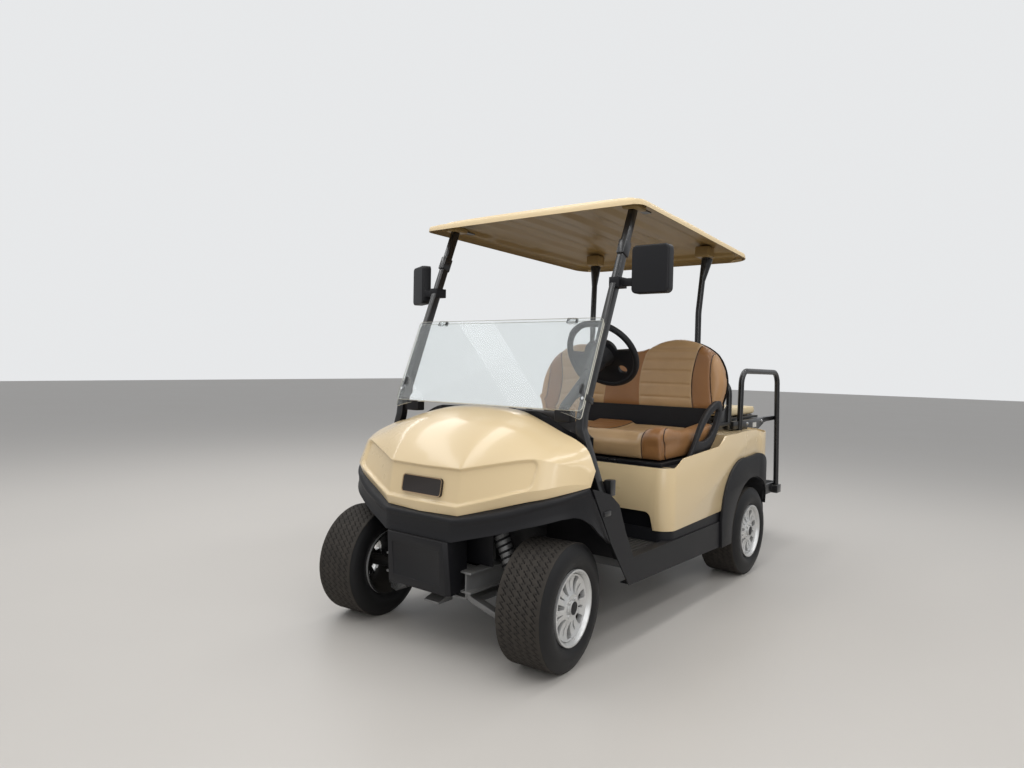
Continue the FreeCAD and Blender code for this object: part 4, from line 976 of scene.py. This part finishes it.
vinyl = {"tan": (0.46, 0.30, 0.155), "brown": (0.285, 0.135, 0.050), "end": (0.33, 0.165, 0.065),
         "caramel": (0.42, 0.235, 0.105)}
back = {"lean": math.radians(9), "pivot": (0, 1300, 860),
        # height up the leaned face and half width of each sewn line
        "inner": ((0.0, 0.112), (0.17, 0.101), (0.30, 0.125), (0.40, 0.175)),
        "middle": ((0.0, 0.415), (0.18, 0.397), (0.34, 0.425), (0.42, 0.470)),
        "outer": ((0.0, 0.520), (0.04, 0.514), (0.19, 0.492), (0.33, 0.492), (0.42, 0.500)),
        "channels": (0.073, 0.142, 0.211, 0.269, 0.324), "cap": 0.016, "tall": 0.42,
        "seamCut": 0.004, "seamWide": 0.006, "channelCut": 0.0045, "channelWide": 0.0055}


def backLine(line, up):
    # Half width of a sewn line of the backrest at a height up its face.
    return smoothPath(back[line], min(max(up, 0.0), back["tall"]))


def backPlace(co):
    # Half width, height up the leaned face and depth behind it, in metres.
    pivot = spot(*back["pivot"])
    y, z = co.y - pivot.y, co.z - pivot.z
    c, s = math.cos(back["lean"]), math.sin(back["lean"])
    return abs(co.x), z * c + y * s, y * c - z * s


def backSeams(co):
    wide, up, deep = backPlace(co)
    return min(abs(wide - backLine(line, up)) for line in ("inner", "middle", "outer"))


def makeBack():
    form = copied("backrest_cushion", 0.010)

    def held(co):
        wide, up, deep = backPlace(co)
        rear = smoothStep(0.080, 0.092, deep)
        return max(rear, 1 - smoothStep(0.004, 0.040, backSeams(co)) * 0.98)
    made = inflated(form, "back", held, back["cap"], 0.010)
    subdivided(made)

    def sewn(co):
        wide, up, deep = backPlace(co)
        if deep > 0.05:
            return 0.0
        cut = back["seamCut"] * math.exp(-(backSeams(co) / back["seamWide"]) ** 2)
        inner, middle = backLine("inner", up), backLine("middle", up)
        inside = smoothStep(inner, inner + 0.02, wide) * (1 - smoothStep(middle - 0.02, middle, wide))
        gap = min(abs(up - line) for line in back["channels"])
        return -cut - back["channelCut"] * inside * math.exp(-(gap / back["channelWide"]) ** 2)
    raised(made, sewn)

    def zone(tree, wide, y, z):
        pivot = spot(*back["pivot"])
        c, s = math.cos(back["lean"]), math.sin(back["lean"])
        up = mathNode(tree, "ADD", mathNode(tree, "MULTIPLY", mathNode(tree, "SUBTRACT", z, pivot.z), c),
                      mathNode(tree, "MULTIPLY", mathNode(tree, "SUBTRACT", y, pivot.y), s))
        value = 0.0
        for line in ("inner", "middle", "outer"):
            curve = addNode(tree, "ShaderNodeFloatCurve")
            points = curve.mapping.curves[0].points
            while len(points) > 2:
                points.remove(points[-1])
            ramp = [(i / 8, smoothPath(back[line], back["tall"] * i / 8)) for i in range(9)]
            points[0].location, points[1].location = ramp[0], ramp[-1]
            for place in ramp[1:-1]:
                points.new(*place)
            curve.mapping.update()
            link(tree, mathNode(tree, "DIVIDE", up, back["tall"]), curve.inputs["Value"])
            beyond = mathNode(tree, "GREATER_THAN", wide, curve.outputs["Value"])
            value = mathNode(tree, "ADD", value, beyond)
        return value
    skin = vinylZones("backVinyl", (vinyl["brown"], vinyl["tan"], vinyl["brown"], vinyl["caramel"]), zone)
    return padPiece(made, "back_cushion", "backrest_cushion", skin)


def makePad(node, name, held, cap):
    made = inflated(copied(node, 0.009), name, held, cap, 0.012)
    subdivided(made)
    return padPiece(made, name, node, paints["cream_vinyl"])


bpy.context.scene.frame_set(1)
benchPiece = makeBench()
print("bench made")
backPiece = makeBack()
print("backrest made")


def flipHeld(co):
    low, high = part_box("flip_seat_cushion")
    seam = min(abs(co.x), abs(co.z - (low.z + high.z) / 2) * 0.9)
    return max(1 - smoothStep(0.003, 0.03, seam), 1 - smoothStep(low.z, low.z + 0.012, co.z))


def padHeld(co):
    low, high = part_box("rear_backrest")
    return 1 - smoothStep(0.003, 0.03, abs(co.y - (low.y + high.y) / 2))


makePad("flip_seat_cushion", "flip_cushion", flipHeld, 0.012)
makePad("rear_backrest", "rear_pad", padHeld, 0.010)
print("rear cushions made")


# Piping along the seams, laid on the cushions' skins
pipingRadius = 0.0024


def skinHit(piece, start, direction):
    found, place, normal, index = piece.ray_cast(start, direction)
    return place if found else None


def seamPath(wide, slope):
    # Places on the bench's skin over a sewn line that starts at wide and leans in by slope
    path = []
    along = Vector((-slope * math.copysign(1, wide), 1, 0))
    centre = spot(wide, bench["endFrom"], 705) + along * 0.265
    for i in range(140):
        angle = math.pi * (-0.075 + 1.055 * i / 139)
        out = along * -math.cos(angle) + Vector((0, 0, 0.6 * math.sin(angle)))
        hit = skinHit(benchPiece, centre + out * 0.8, -out.normalized())
        if hit and (not path or 0.004 < (hit - path[-1]).length < 0.12):
            path.append(hit)
    return path


def pipingPiece(form, name, node):
    outward(form)
    toObject(form, name, slot="seat_vinyl", body=nodeBody[node], paint=pipingVinyl, smoothAngle=180)


def benchPiping():
    form = bmesh.new()
    lines = ((bench["seam"], 0), (bench["hump"], 0), (bench["end"], bench["endBack"]))
    for side in (-1, 1):
        for wide, slope in lines:
            tubeInto(form, seamPath(side * wide * 1000, slope), pipingRadius, 8)
    pipingPiece(form, "bench_piping", "seat_cushion")


def backPiping():
    form = bmesh.new()
    c, s = math.cos(back["lean"]), math.sin(back["lean"])
    pivot = spot(*back["pivot"])
    for line in ("middle", "outer"):
        for side in (-1, 1):
            path = []
            for i in range(60):
                up = -0.02 + 0.46 * i / 59
                wide = side * backLine(line, up)
                start = pivot + Vector((wide, up * s - 0.3 * c, up * c + 0.3 * s))
                hit = skinHit(backPiece, start, Vector((0, c, -s)))
                if hit and (not path or (hit - path[-1]).length < 0.05):
                    path.append(hit)
            if len(path) > 3:
                tubeInto(form, path, pipingRadius, 8)
    pipingPiece(form, "back_piping", "backrest_cushion")


bpy.context.view_layer.update()
benchPiping()
backPiping()
print("piping laid")

# Front plate: blank, with a thin bronze border, on the sunk front panel
plate = {"wide": 206, "high": 70, "thick": 12, "corner": 0.014, "lean": -9.8, "centre": (0, -181.5, 625),
         "border": 0.0036, "sink": 0.0012}
plateBrown = finish("plateBrown", (0.020, 0.014, 0.011), 0.35, 0.8, 12)
plateBronze = finish("plateBronze", (0.40, 0.27, 0.15), 0.35, 0.8, 12)


def edgesAlongY(form):
    return [e for e in form.edges if abs(e.verts[0].co.y - e.verts[1].co.y) > 0.001]


def makePlate():
    form = bmesh.new()
    x, y, z = plate["centre"]
    half = Vector((plate["wide"], plate["thick"], plate["high"])) / 2
    boxInto(form, (x - half.x, y - half.y, z - half.z), (x + half.x, y + half.y, z + half.z))
    bevelled(form, edgesAlongY(form), plate["corner"], 5, False)
    front = min(form.faces, key=lambda f: f.calc_center_median().y)
    bmesh.ops.inset_region(form, faces=[front], thickness=plate["border"], use_even_offset=True)
    bmesh.ops.translate(form, vec=(0, plate["sink"], 0), verts=front.verts)
    for face in form.faces:
        edge = max(v.co.y for v in face.verts) < spot(0, y, 0).y
        face.material_index = int(edge and face is not front)
    turn = turnAbout(spot(x, y, z), math.radians(plate["lean"]), "X")
    bmesh.ops.transform(form, matrix=turn, verts=form.verts)
    toObject(form, "front_plate", slot="black_trim", paint=[plateBrown, plateBronze])


makePlate()

# Springs of the front coil-overs
spring = {"low": (293, 0, 332), "high": (238.5, 0, 456), "radius": 0.0295, "wire": 0.0042, "turns": 6}


def makeSprings():
    form = bmesh.new()
    low, high = spot(*spring["low"]), spot(*spring["high"])
    side = Vector((0, 1, 0))
    across = (high - low).normalized().cross(side)
    steps = spring["turns"] * 14
    path = []
    for i in range(steps + 1):
        angle = math.tau * spring["turns"] * i / steps
        ring = (side * math.cos(angle) + across * math.sin(angle)) * spring["radius"]
        path.append(low.lerp(high, i / steps) + ring)
    tubeInto(form, path, spring["wire"], 8)
    outward(form)
    mirrorInto(form)
    toObject(form, "front_springs", slot="black_trim")


makeSprings()


# Dash: its outer ends taper towards the seats, clear of the struts
dash = {"inner": 330, "outer": 520, "front": 196, "rear": 352, "taper": 124, "soft": 0.004,
        "cuts": (255, 285, 315, 345, 375, 405, 440), "dropFrom": 0.780, "top": 0.904, "drop": 0.066,
        "dropSpan": (250, 440)}


def makeDash():
    form = meshOf("dash_panel")
    for v in form.verts:
        wide, y = abs(v.co.x) * 1000, (v.co.y - axleY) * 1000
        if wide > dash["inner"]:
            share = min(max((y - dash["front"]) / (dash["rear"] - dash["front"]), 0), 1)
            room = dash["outer"] - dash["inner"]
            wide = dash["inner"] + (wide - dash["inner"]) * (1 - share * dash["taper"] / room)
            v.co.x = math.copysign(wide / 1000, v.co.x)
    rounded(form, dash["soft"])
    for wide in dash["cuts"]:
        for side in (-1, 1):
            bmesh.ops.bisect_plane(form, geom=everything(form), plane_co=(side * wide / 1000, 0, 0),
                                   plane_no=(1, 0, 0), dist=0.00001)
    for v in form.verts:
        share = min(max((v.co.z - dash["dropFrom"]) / (dash["top"] - dash["dropFrom"]), 0), 1)
        v.co.z -= share * dash["drop"] * smoothStep(*dash["dropSpan"], abs(v.co.x) * 1000)
    toObject(form, "dash_soft", "dash_panel")


makeDash()

# Windshield: clear sheets with rounded corners and a painted highlight on their edges, rubber blocks, strut
# fittings
shield = {"lean": math.atan2(147, 356), "corner": 0.018, "soft": 0.0006, "flat": 0.95,
          "rubber": ((368, 150, 873), (440, 196, 917))}
# painted highlight: the sheets' edge faces are an opaque pale warm colour for the light caught in their
# edges
glassEdgeHighlight = finish("glassEdgeHighlight", (0.66, 0.64, 0.55), 0.25, 0.92, 20)


def makePane(node):
    form = meshOf(node)
    normal = Vector((0, math.cos(shield["lean"]), -math.sin(shield["lean"])))
    corners = []
    for e in form.edges:
        along = (e.verts[0].co - e.verts[1].co).normalized()
        if abs(along.dot(normal)) > 0.9 and e.calc_face_angle(0) > math.radians(50):
            corners.append(e)
    bevelled(form, corners, shield["corner"], 5)
    rounded(form, shield["soft"], 1, 60)
    form.normal_update()
    # edge faces get the painted highlight, flat faces stay clear
    for face in form.faces:
        face.material_index = int(abs(face.normal.dot(normal)) < shield["flat"])
    toObject(form, node + "_clear", node, paint=[paints["clear_acrylic"], glassEdgeHighlight])


for node in ("windshield_lower", "windshield_upper"):
    makePane(node)


def makeBlocks():
    form = bmesh.new()
    boxInto(form, *shield["rubber"])
    rounded(form, 0.005, 3)
    mirrorInto(form)
    toObject(form, "windshield_rubbers", "windshield_blocks")


makeBlocks()

# x, y, z of the middle, width, depth and height in millimetres, and whether it leans with the strut
strutFittings = ((584, 214, 637, 32, 36, 60, 0), (590, 172, 548, 30, 46, 20, 0),
                 (486, 197, 962, 34, 50, 26, 1), (472, 184, 1000, 10, 26, 40, 1),
                 (489, 444, 1562, 34, 48, 66, 1))
strutBolt = ((486, 164, 968), (486, 176, 963))


def makeStrutFittings():
    form = bmesh.new()
    for x, y, z, wide, deep, high, leans in strutFittings:
        boxInto(form, (x - wide / 2, y - deep / 2, z - high / 2), (x + wide / 2, y + deep / 2, z + high / 2),
                -shield["lean"] * leans)
    rounded(form, 0.004, 2)
    mirrorInto(form)
    toObject(form, "strut_fittings", slot="black_steel")
    bolts = bmesh.new()
    rodInto(bolts, *(spot(*end) for end in strutBolt), 0.006, 12)
    mirrorInto(bolts)
    toObject(bolts, "strut_bolts", slot="bright_metal")


makeStrutFittings()
print("front fittings made")


# Canopy: one moulded sheet with a rim, side gutters, a domed crown and four pressed pockets
roof = {
    "half": 584, "front": 392, "rear": 1772, "frontZ": 1723, "rearZ": 1667, "narrow": 50,
    "corner": 40, "rearCorner": 130, "bow": 8, "crown": 84, "wall": 0.0045, "sharp": 5,
    # inset from the rim and share of the crown's height
    "profile": ((0, 0.0), (2, 0.16), (7, 0.29), (16, 0.34), (34, 0.365), (50, 0.385), (60, 0.47), (72, 0.63),
                (90, 0.71), (150, 0.84), (230, 0.93), (330, 0.98), (460, 1.0), (800, 1.0)),
    "insets": (0, 1, 2, 4, 7, 11, 16, 24, 34, 44, 50, 55, 60, 66, 72, 80, 90, 105, 125),
    "pockets": (-318, -106, 106, 318), "pocketHalf": 66, "pocketSoft": 20, "pocketDeep": 12,
    "pocketEnds": (600, 1560), "pocketFade": 30, "bulge": (860, 1180), "bulgeDeep": 24, "bulgeFade": 60,
    # x and y of the middle of the bosses over the struts, half width, half depth and lowest height
    "bosses": ((489, 520, 34, 46, 8), (341, 1580, 40, 40, 2)), "bossGap": 2,
    "plates": ((566, 640), (450, 474))}


def roofHalf(y):
    # Half width of the canopy's plan where its row has lengthways place y
    front, rear = y - roof["front"], roof["rear"] - y
    full = roof["half"] - roof["narrow"] * max(front - roof["corner"], 0) / (
        roof["rear"] - roof["front"] - roof["corner"] - roof["rearCorner"])
    if front < roof["corner"]:
        r = roof["corner"]
        return roof["half"] - r + math.sqrt(max(r * r - (r - front) ** 2, 0))
    if rear < roof["rearCorner"]:
        r = roof["rearCorner"]
        return roof["half"] - roof["narrow"] - r + math.sqrt(max(r * r - (r - rear) ** 2, 0))
    return full


def between(low, high, fade, value):
    # One between low and high, fading out beyond them.
    return smoothStep(low - fade, low, value) * (1 - smoothStep(high, high + fade, value))


def roofHeight(x, y, half):
    # Height of the canopy's outer face over its rim
    edge = half - abs(x)
    bulge = between(*roof["bulge"], roof["bulgeFade"], y)
    side = edge + roof["bulgeDeep"] * bulge * smoothStep(14, 30, edge)
    end = min(y - roof["front"], roof["rear"] - y)
    shares = [max(alongPath(roof["profile"], max(d, 0)), 1e-4) for d in (side, end)]
    high = roof["crown"] * sum(s ** -roof["sharp"] for s in shares) ** (-1 / roof["sharp"])
    for place in roof["pockets"]:
        inside = 1 - smoothStep(roof["pocketHalf"] - roof["pocketSoft"], roof["pocketHalf"], abs(x - place))
        high += roof["pocketDeep"] * inside * between(*roof["pocketEnds"], roof["pocketFade"], y)
    return high


def roofRows(half, middle):
    # Places from one rim to the other, close together at the rims
    out = [half - inset for inset in roof["insets"]]
    steps = 2 * math.ceil((half - roof["insets"][-1]) / middle / 2)
    inner = [out[-1] * (1 - 2 * i / steps) for i in range(1, steps)]
    return [-v for v in out] + [-v for v in inner] + out[::-1]


def canopyLean():
    tilt = math.atan2(roof["frontZ"] - roof["rearZ"], roof["rear"] - roof["front"])
    return turnAbout(spot(0, roof["front"], roof["frontZ"]), -tilt, "X")


def makeCanopy():
    length = roof["rear"] - roof["front"]
    middle = (roof["rear"] + roof["front"]) / 2
    ys = [middle + v for v in roofRows(length / 2, 18)]
    shares = [v / roof["half"] for v in roofRows(roof["half"], 11)]
    rim = roof["insets"][-1]

    def place(column, row):
        y, share = ys[row], shares[column]
        half = roofHalf(y)
        inset = (1 - abs(share)) * roof["half"]
        if inset <= rim:
            x = math.copysign(half - inset, share)
        else:
            x = share * roof["half"] * (half - rim) / (roof["half"] - rim)
        bow = roof["bow"] * (x / roof["half"]) ** 2 * max(1 - (y - roof["front"]) / 400, 0)
        return spot(x, y + bow, roof["frontZ"] + roofHeight(x, y, half))
    form = gridForm(len(shares) - 1, len(ys) - 1, place)
    outward(form, 2)
    bmesh.ops.solidify(form, geom=form.faces, thickness=roof["wall"])
    form.normal_update()
    # faces that look down take the second material: the same cream plastic with the shade under the canopy
    # painted in as dark brown
    for face in form.faces:
        face.material_index = int(face.normal.z < -0.1)
    for x, y, wide, deep, low in roof["bosses"]:
        high = min(roofHeight(x + i * wide, y + k * deep, roofHalf(y + k * deep))
                   for i in (-1, 0, 1) for k in (-1, 0, 1)) - roof["bossGap"]
        made = []
        for middle in (x, -x):
            made += boxInto(form, (middle - wide, y - deep, roof["frontZ"] + low),
                            (middle + wide, y + deep, roof["frontZ"] + high))
        # the bosses under the canopy take the same painted shade
        for v in made:
            for face in v.link_faces:
                face.material_index = 1
        edges = {e for v in made for e in v.link_edges}
        bevelled(form, list(edges), 0.008, 3, False)
    bmesh.ops.transform(form, matrix=canopyLean(), verts=form.verts)
    toObject(form, "canopy_shell", "canopy", paint=[roofPlastic, canopyUndersideShade], smoothAngle=50)
    plates = bmesh.new()
    for front, rear in roof["plates"]:
        boxInto(plates, (472, front, roof["frontZ"] + 19), (506, rear, roof["frontZ"] + 26))
    rounded(plates, 0.002)
    bmesh.ops.transform(plates, matrix=canopyLean(), verts=plates.verts)
    mirrorInto(plates)
    toObject(plates, "canopy_plates", slot="black_steel")


roofPlastic = finish("roofPlastic", (0.74, 0.573, 0.333), 0.46, 0.95, 1.5)
# painted shade: the canopy's underside is the same cream plastic, painted dark olive brown for the shade it
# lies in
canopyUndersideShade = finish("canopyUndersideShade", (0.29, 0.195, 0.078), 0.33, 0.85, 3, 300, 0.03,
                     Specular_IOR_Level=0.25)
makeCanopy()
print("canopy made")


# Black panels that close the views under the body, behind the bench and round the rear wheels
bodyPlan = {"half": 600, "front": 690, "corner": 70, "rear": 1262, "inset": 7, "low": 336, "high": 392}
# the recess's back, the panel behind the bench and the one in front of the footwell
panelBoxes = (((-546, 748, 336), (546, 752, 470)), ((-506, 1316, 738), (506, 1321, 884)),
              ((-225, 150, 210), (225, 153, 338)))
# the plates that carry the toe board out to the rockers: from and to, y and z of their outline
footSides = (519, 595, ((367, 327), (374, 327), (313, 482), (310, 490), (305, 490), (306, 480)))


def bodyPath(inset):
    half, front, r = bodyPlan["half"] - inset, bodyPlan["front"] + inset, bodyPlan["corner"] - inset
    points = [(0, front), (half - r, front)]
    for i in range(1, 9):
        angle = math.pi / 2 * i / 8
        points.append((half - r + math.sin(angle) * r, front + r - math.cos(angle) * r))
    points.append((half, bodyPlan["rear"]))
    return [(-x, y) for x, y in points[:0:-1]] + points


def makePanels():
    path = bodyPath(bodyPlan["inset"])
    heights = (bodyPlan["low"], bodyPlan["high"])
    form = gridForm(len(path) - 1, 1, lambda column, row: spot(*path[column], heights[row]))
    outward(form)
    bmesh.ops.solidify(form, geom=form.faces, thickness=panelWall)
    for low, high in panelBoxes:
        boxInto(form, low, high)
    near, far, outline = footSides
    for side in (-1, 1):
        plateInto(form, side * near, side * far, outline)
    toObject(form, "body_panels", slot="black_trim")


# the liner's inner and outer sideways places, its radius, and how far its outer edge draws in behind
liner = {"inner": 0.378, "outer": 0.606, "radius": 0.2885, "drawn": 0.034, "wheel": (0, 1664, 228.6)}


def makeLiners():
    form = bmesh.new()
    centre = spot(*liner["wheel"])
    ends = [bmesh.ops.create_vert(form, co=centre + Vector((x, liner["radius"], 0)))["vert"][0]
            for x in (liner["inner"], liner["outer"])]
    edge = form.edges.new(ends)
    bmesh.ops.spin(form, geom=ends + [edge], cent=centre, axis=(1, 0, 0), angle=math.pi, steps=24)
    for v in form.verts:
        if v.co.x > 0.5:
            v.co.x -= liner["drawn"] * smoothStep(0.17, 0.28, v.co.y - centre.y)
    inner = [e for e in form.edges if all(v.co.x < 0.4 for v in e.verts)]
    rim = sorted({v for e in inner for v in e.verts},
                 key=lambda v: math.atan2(v.co.z - centre.z + 1e-6, v.co.y - centre.y))
    bmesh.ops.contextual_create(form, geom=rim)
    outward(form)
    bmesh.ops.solidify(form, geom=form.faces, thickness=panelWall)
    mirrorInto(form)
    toObject(form, "wheel_liners", slot="black_trim")


makePanels()
makeLiners()
print("panels made")


# Floor mat with lengthways ribs, and treads on the footplate: count, half width, place of the first
ribs = {"count": 54, "half": 6, "first": 12, "end": 8, "high": 2}
treads = {"count": 11, "half": 5, "first": 26, "end": 50, "high": 1.6}


def boxOf(node):
    # A CAD node's box in millimetres from the front axle.
    low, high = (Vector(c) * 1000 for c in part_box(node))
    low.y -= axleY * 1000
    high.y -= axleY * 1000
    return low, high


def makeMat():
    low, high = boxOf("floor_mat")
    form = bmesh.new()
    boxInto(form, low, (high.x, high.y, high.z - ribs["high"]))
    for i in range(ribs["count"]):
        x = low.x + ribs["first"] + (high.x - low.x - 2 * ribs["first"]) * i / (ribs["count"] - 1)
        boxInto(form, (x - ribs["half"], low.y + ribs["end"], high.z - ribs["high"] - 0.5),
                (x + ribs["half"], high.y - ribs["end"], high.z))
    toObject(form, "mat_ribbed", "floor_mat")


def makeTreads():
    low, high = boxOf("footplate")
    top = high.z + footplateRise * 1000
    form = bmesh.new()
    for i in range(treads["count"]):
        y = low.y + treads["first"] + (high.y - low.y - 2 * treads["first"]) * i / (treads["count"] - 1)
        boxInto(form, (low.x + treads["end"], y - treads["half"], top - 1),
                (high.x - treads["end"], y + treads["half"], top + treads["high"]))
    rounded(form, 0.0008, 1)
    toObject(form, "footplate_treads", slot="black_trim")


makeMat()
makeTreads()


# Mirror glass on the heads' rear faces
mirrorGlass = {"box": ((573, 419, 1383), (707, 421.2, 1545)), "corner": 0.016}
mirrorSilver = finish("mirrorSilver", (0.85, 0.87, 0.88), 0.03, 1.0, 4, roughSpread=0.01, Metallic=1.0)


def makeMirrorGlass():
    form = bmesh.new()
    boxInto(form, *mirrorGlass["box"])
    bevelled(form, edgesAlongY(form), mirrorGlass["corner"], 5, False)
    mirrorInto(form)
    turnFarHead(form)
    toObject(form, "mirror_glass", slot="bright_metal", paint=mirrorSilver)


makeMirrorGlass()


# Arm covers of the rear kit and plates between strut and hoop: from and to, y and z of the outline
kitShapes = {
    "kit_arms": (406, 430, ((1838, 786), (2328, 786), (2328, 752), (2170, 700), (1990, 694), (1990, 742),
                            (1838, 742))),
    "kit_plates": (392, 398, ((1690, 744), (1690, 800), (1818, 880), (1832, 880), (1832, 744)))}
# y and z of the bolts on the arms, their nuts and washers, and the blank labels between them
kitBolts = ((2050, 765), (2290, 770))
kitNuts = ((429, 436, 0.0075, 6), (428, 431.5, 0.010, 20))
kitLabel = ((429.6, 2140, 738), (430.8, 2200, 766))
labelPaint = finish("blankLabel", (0.62, 0.60, 0.55), 0.45, 0.92, 9)


def makeKitFittings():
    for name, (near, far, outline) in kitShapes.items():
        form = bmesh.new()
        plateInto(form, near, far, outline)
        rounded(form, 0.002)
        mirrorInto(form)
        toObject(form, name, slot="black_steel")
    bolts = bmesh.new()
    for side in (-1, 1):
        for y, z in kitBolts:
            for near, far, radius, sides in kitNuts:
                rodInto(bolts, spot(side * near, y, z), spot(side * far, y, z), radius, sides)
    rounded(bolts, 0.0006, 1)
    toObject(bolts, "kit_bolts", slot="bright_metal")
    labels = bmesh.new()
    boxInto(labels, *kitLabel)
    mirrorInto(labels)
    toObject(labels, "kit_labels", slot="black_trim", paint=labelPaint)


makeKitFittings()
print("small fittings made")


for node, plain in frame["nodes"].items():
    plain.data.materials.clear()
    plain.data.materials.append(paints[nodeSlot[node]])


# Studio: pale floor and backdrop, soft lamps overhead and one beside the camera
studio = {"floorColor": (0.56, 0.53, 0.49), "floorHalf": 30, "worldColor": (0.90, 0.92, 0.95),
          "worldStrength": 0.55, "seenColor": (0.80, 0.81, 0.82), "lampSize": (0.45, 7.0),
          "lampPower": 42.0, "lampPlaces": [(x, -0.6, 3.4) for x in (-4.3, -2.6, -0.9, 0.8, 2.5, 4.2)],
          "fillSize": (3.0, 3.0), "fillPower": 40.0, "fillPlace": (3.4, -4.6, 2.2), "fillAim": (0, 0, 0.6)}


def addLamp(name, size, power, place):
    data = bpy.data.lights.new(name, "AREA")
    data.shape = "RECTANGLE"
    data.size, data.size_y = size
    data.energy = power
    lamp = bpy.data.objects.new(name, data)
    lamp.location = place
    bpy.context.collection.objects.link(lamp)
    return lamp


def makeStudio():
    form = bmesh.new()
    bmesh.ops.create_grid(form, x_segments=2, y_segments=2, size=studio["floorHalf"])
    mesh = bpy.data.meshes.new("floor")
    form.to_mesh(mesh)
    form.free()
    mesh.materials.append(finish("paleFloor", studio["floorColor"], 0.42, 0.93, 0.8, roughSpread=0.15))
    floor = bpy.data.objects.new("floor", mesh)
    bpy.context.collection.objects.link(floor)
    world = bpy.data.worlds.new("studio")
    bpy.context.scene.world = world
    world.use_nodes = True
    tree = world.node_tree
    lit = tree.nodes["Background"]
    lit.inputs["Color"].default_value = studio["worldColor"] + (1,)
    lit.inputs["Strength"].default_value = studio["worldStrength"]
    seen = addNode(tree, "ShaderNodeBackground", in_Color=studio["seenColor"] + (1,), in_Strength=1.0)
    rays = addNode(tree, "ShaderNodeLightPath")
    visible = mathNode(tree, "MAXIMUM", rays.outputs["Is Camera Ray"], rays.outputs["Is Transmission Ray"])
    mixed = addNode(tree, "ShaderNodeMixShader")
    for i, source in enumerate((visible, lit.outputs[0], seen.outputs[0])):
        link(tree, source, mixed.inputs[i])
    link(tree, mixed.outputs[0], tree.nodes["World Output"].inputs[0])
    for place in studio["lampPlaces"]:
        addLamp("lamp", studio["lampSize"], studio["lampPower"], place)
    fill = addLamp("fill", studio["fillSize"], studio["fillPower"], studio["fillPlace"])
    aim = Vector(studio["fillAim"]) - fill.location
    fill.rotation_euler = aim.to_track_quat("-Z", "Y").to_euler()


makeStudio()
bpy.context.scene.view_settings.view_transform = "Standard"
print("studio set")
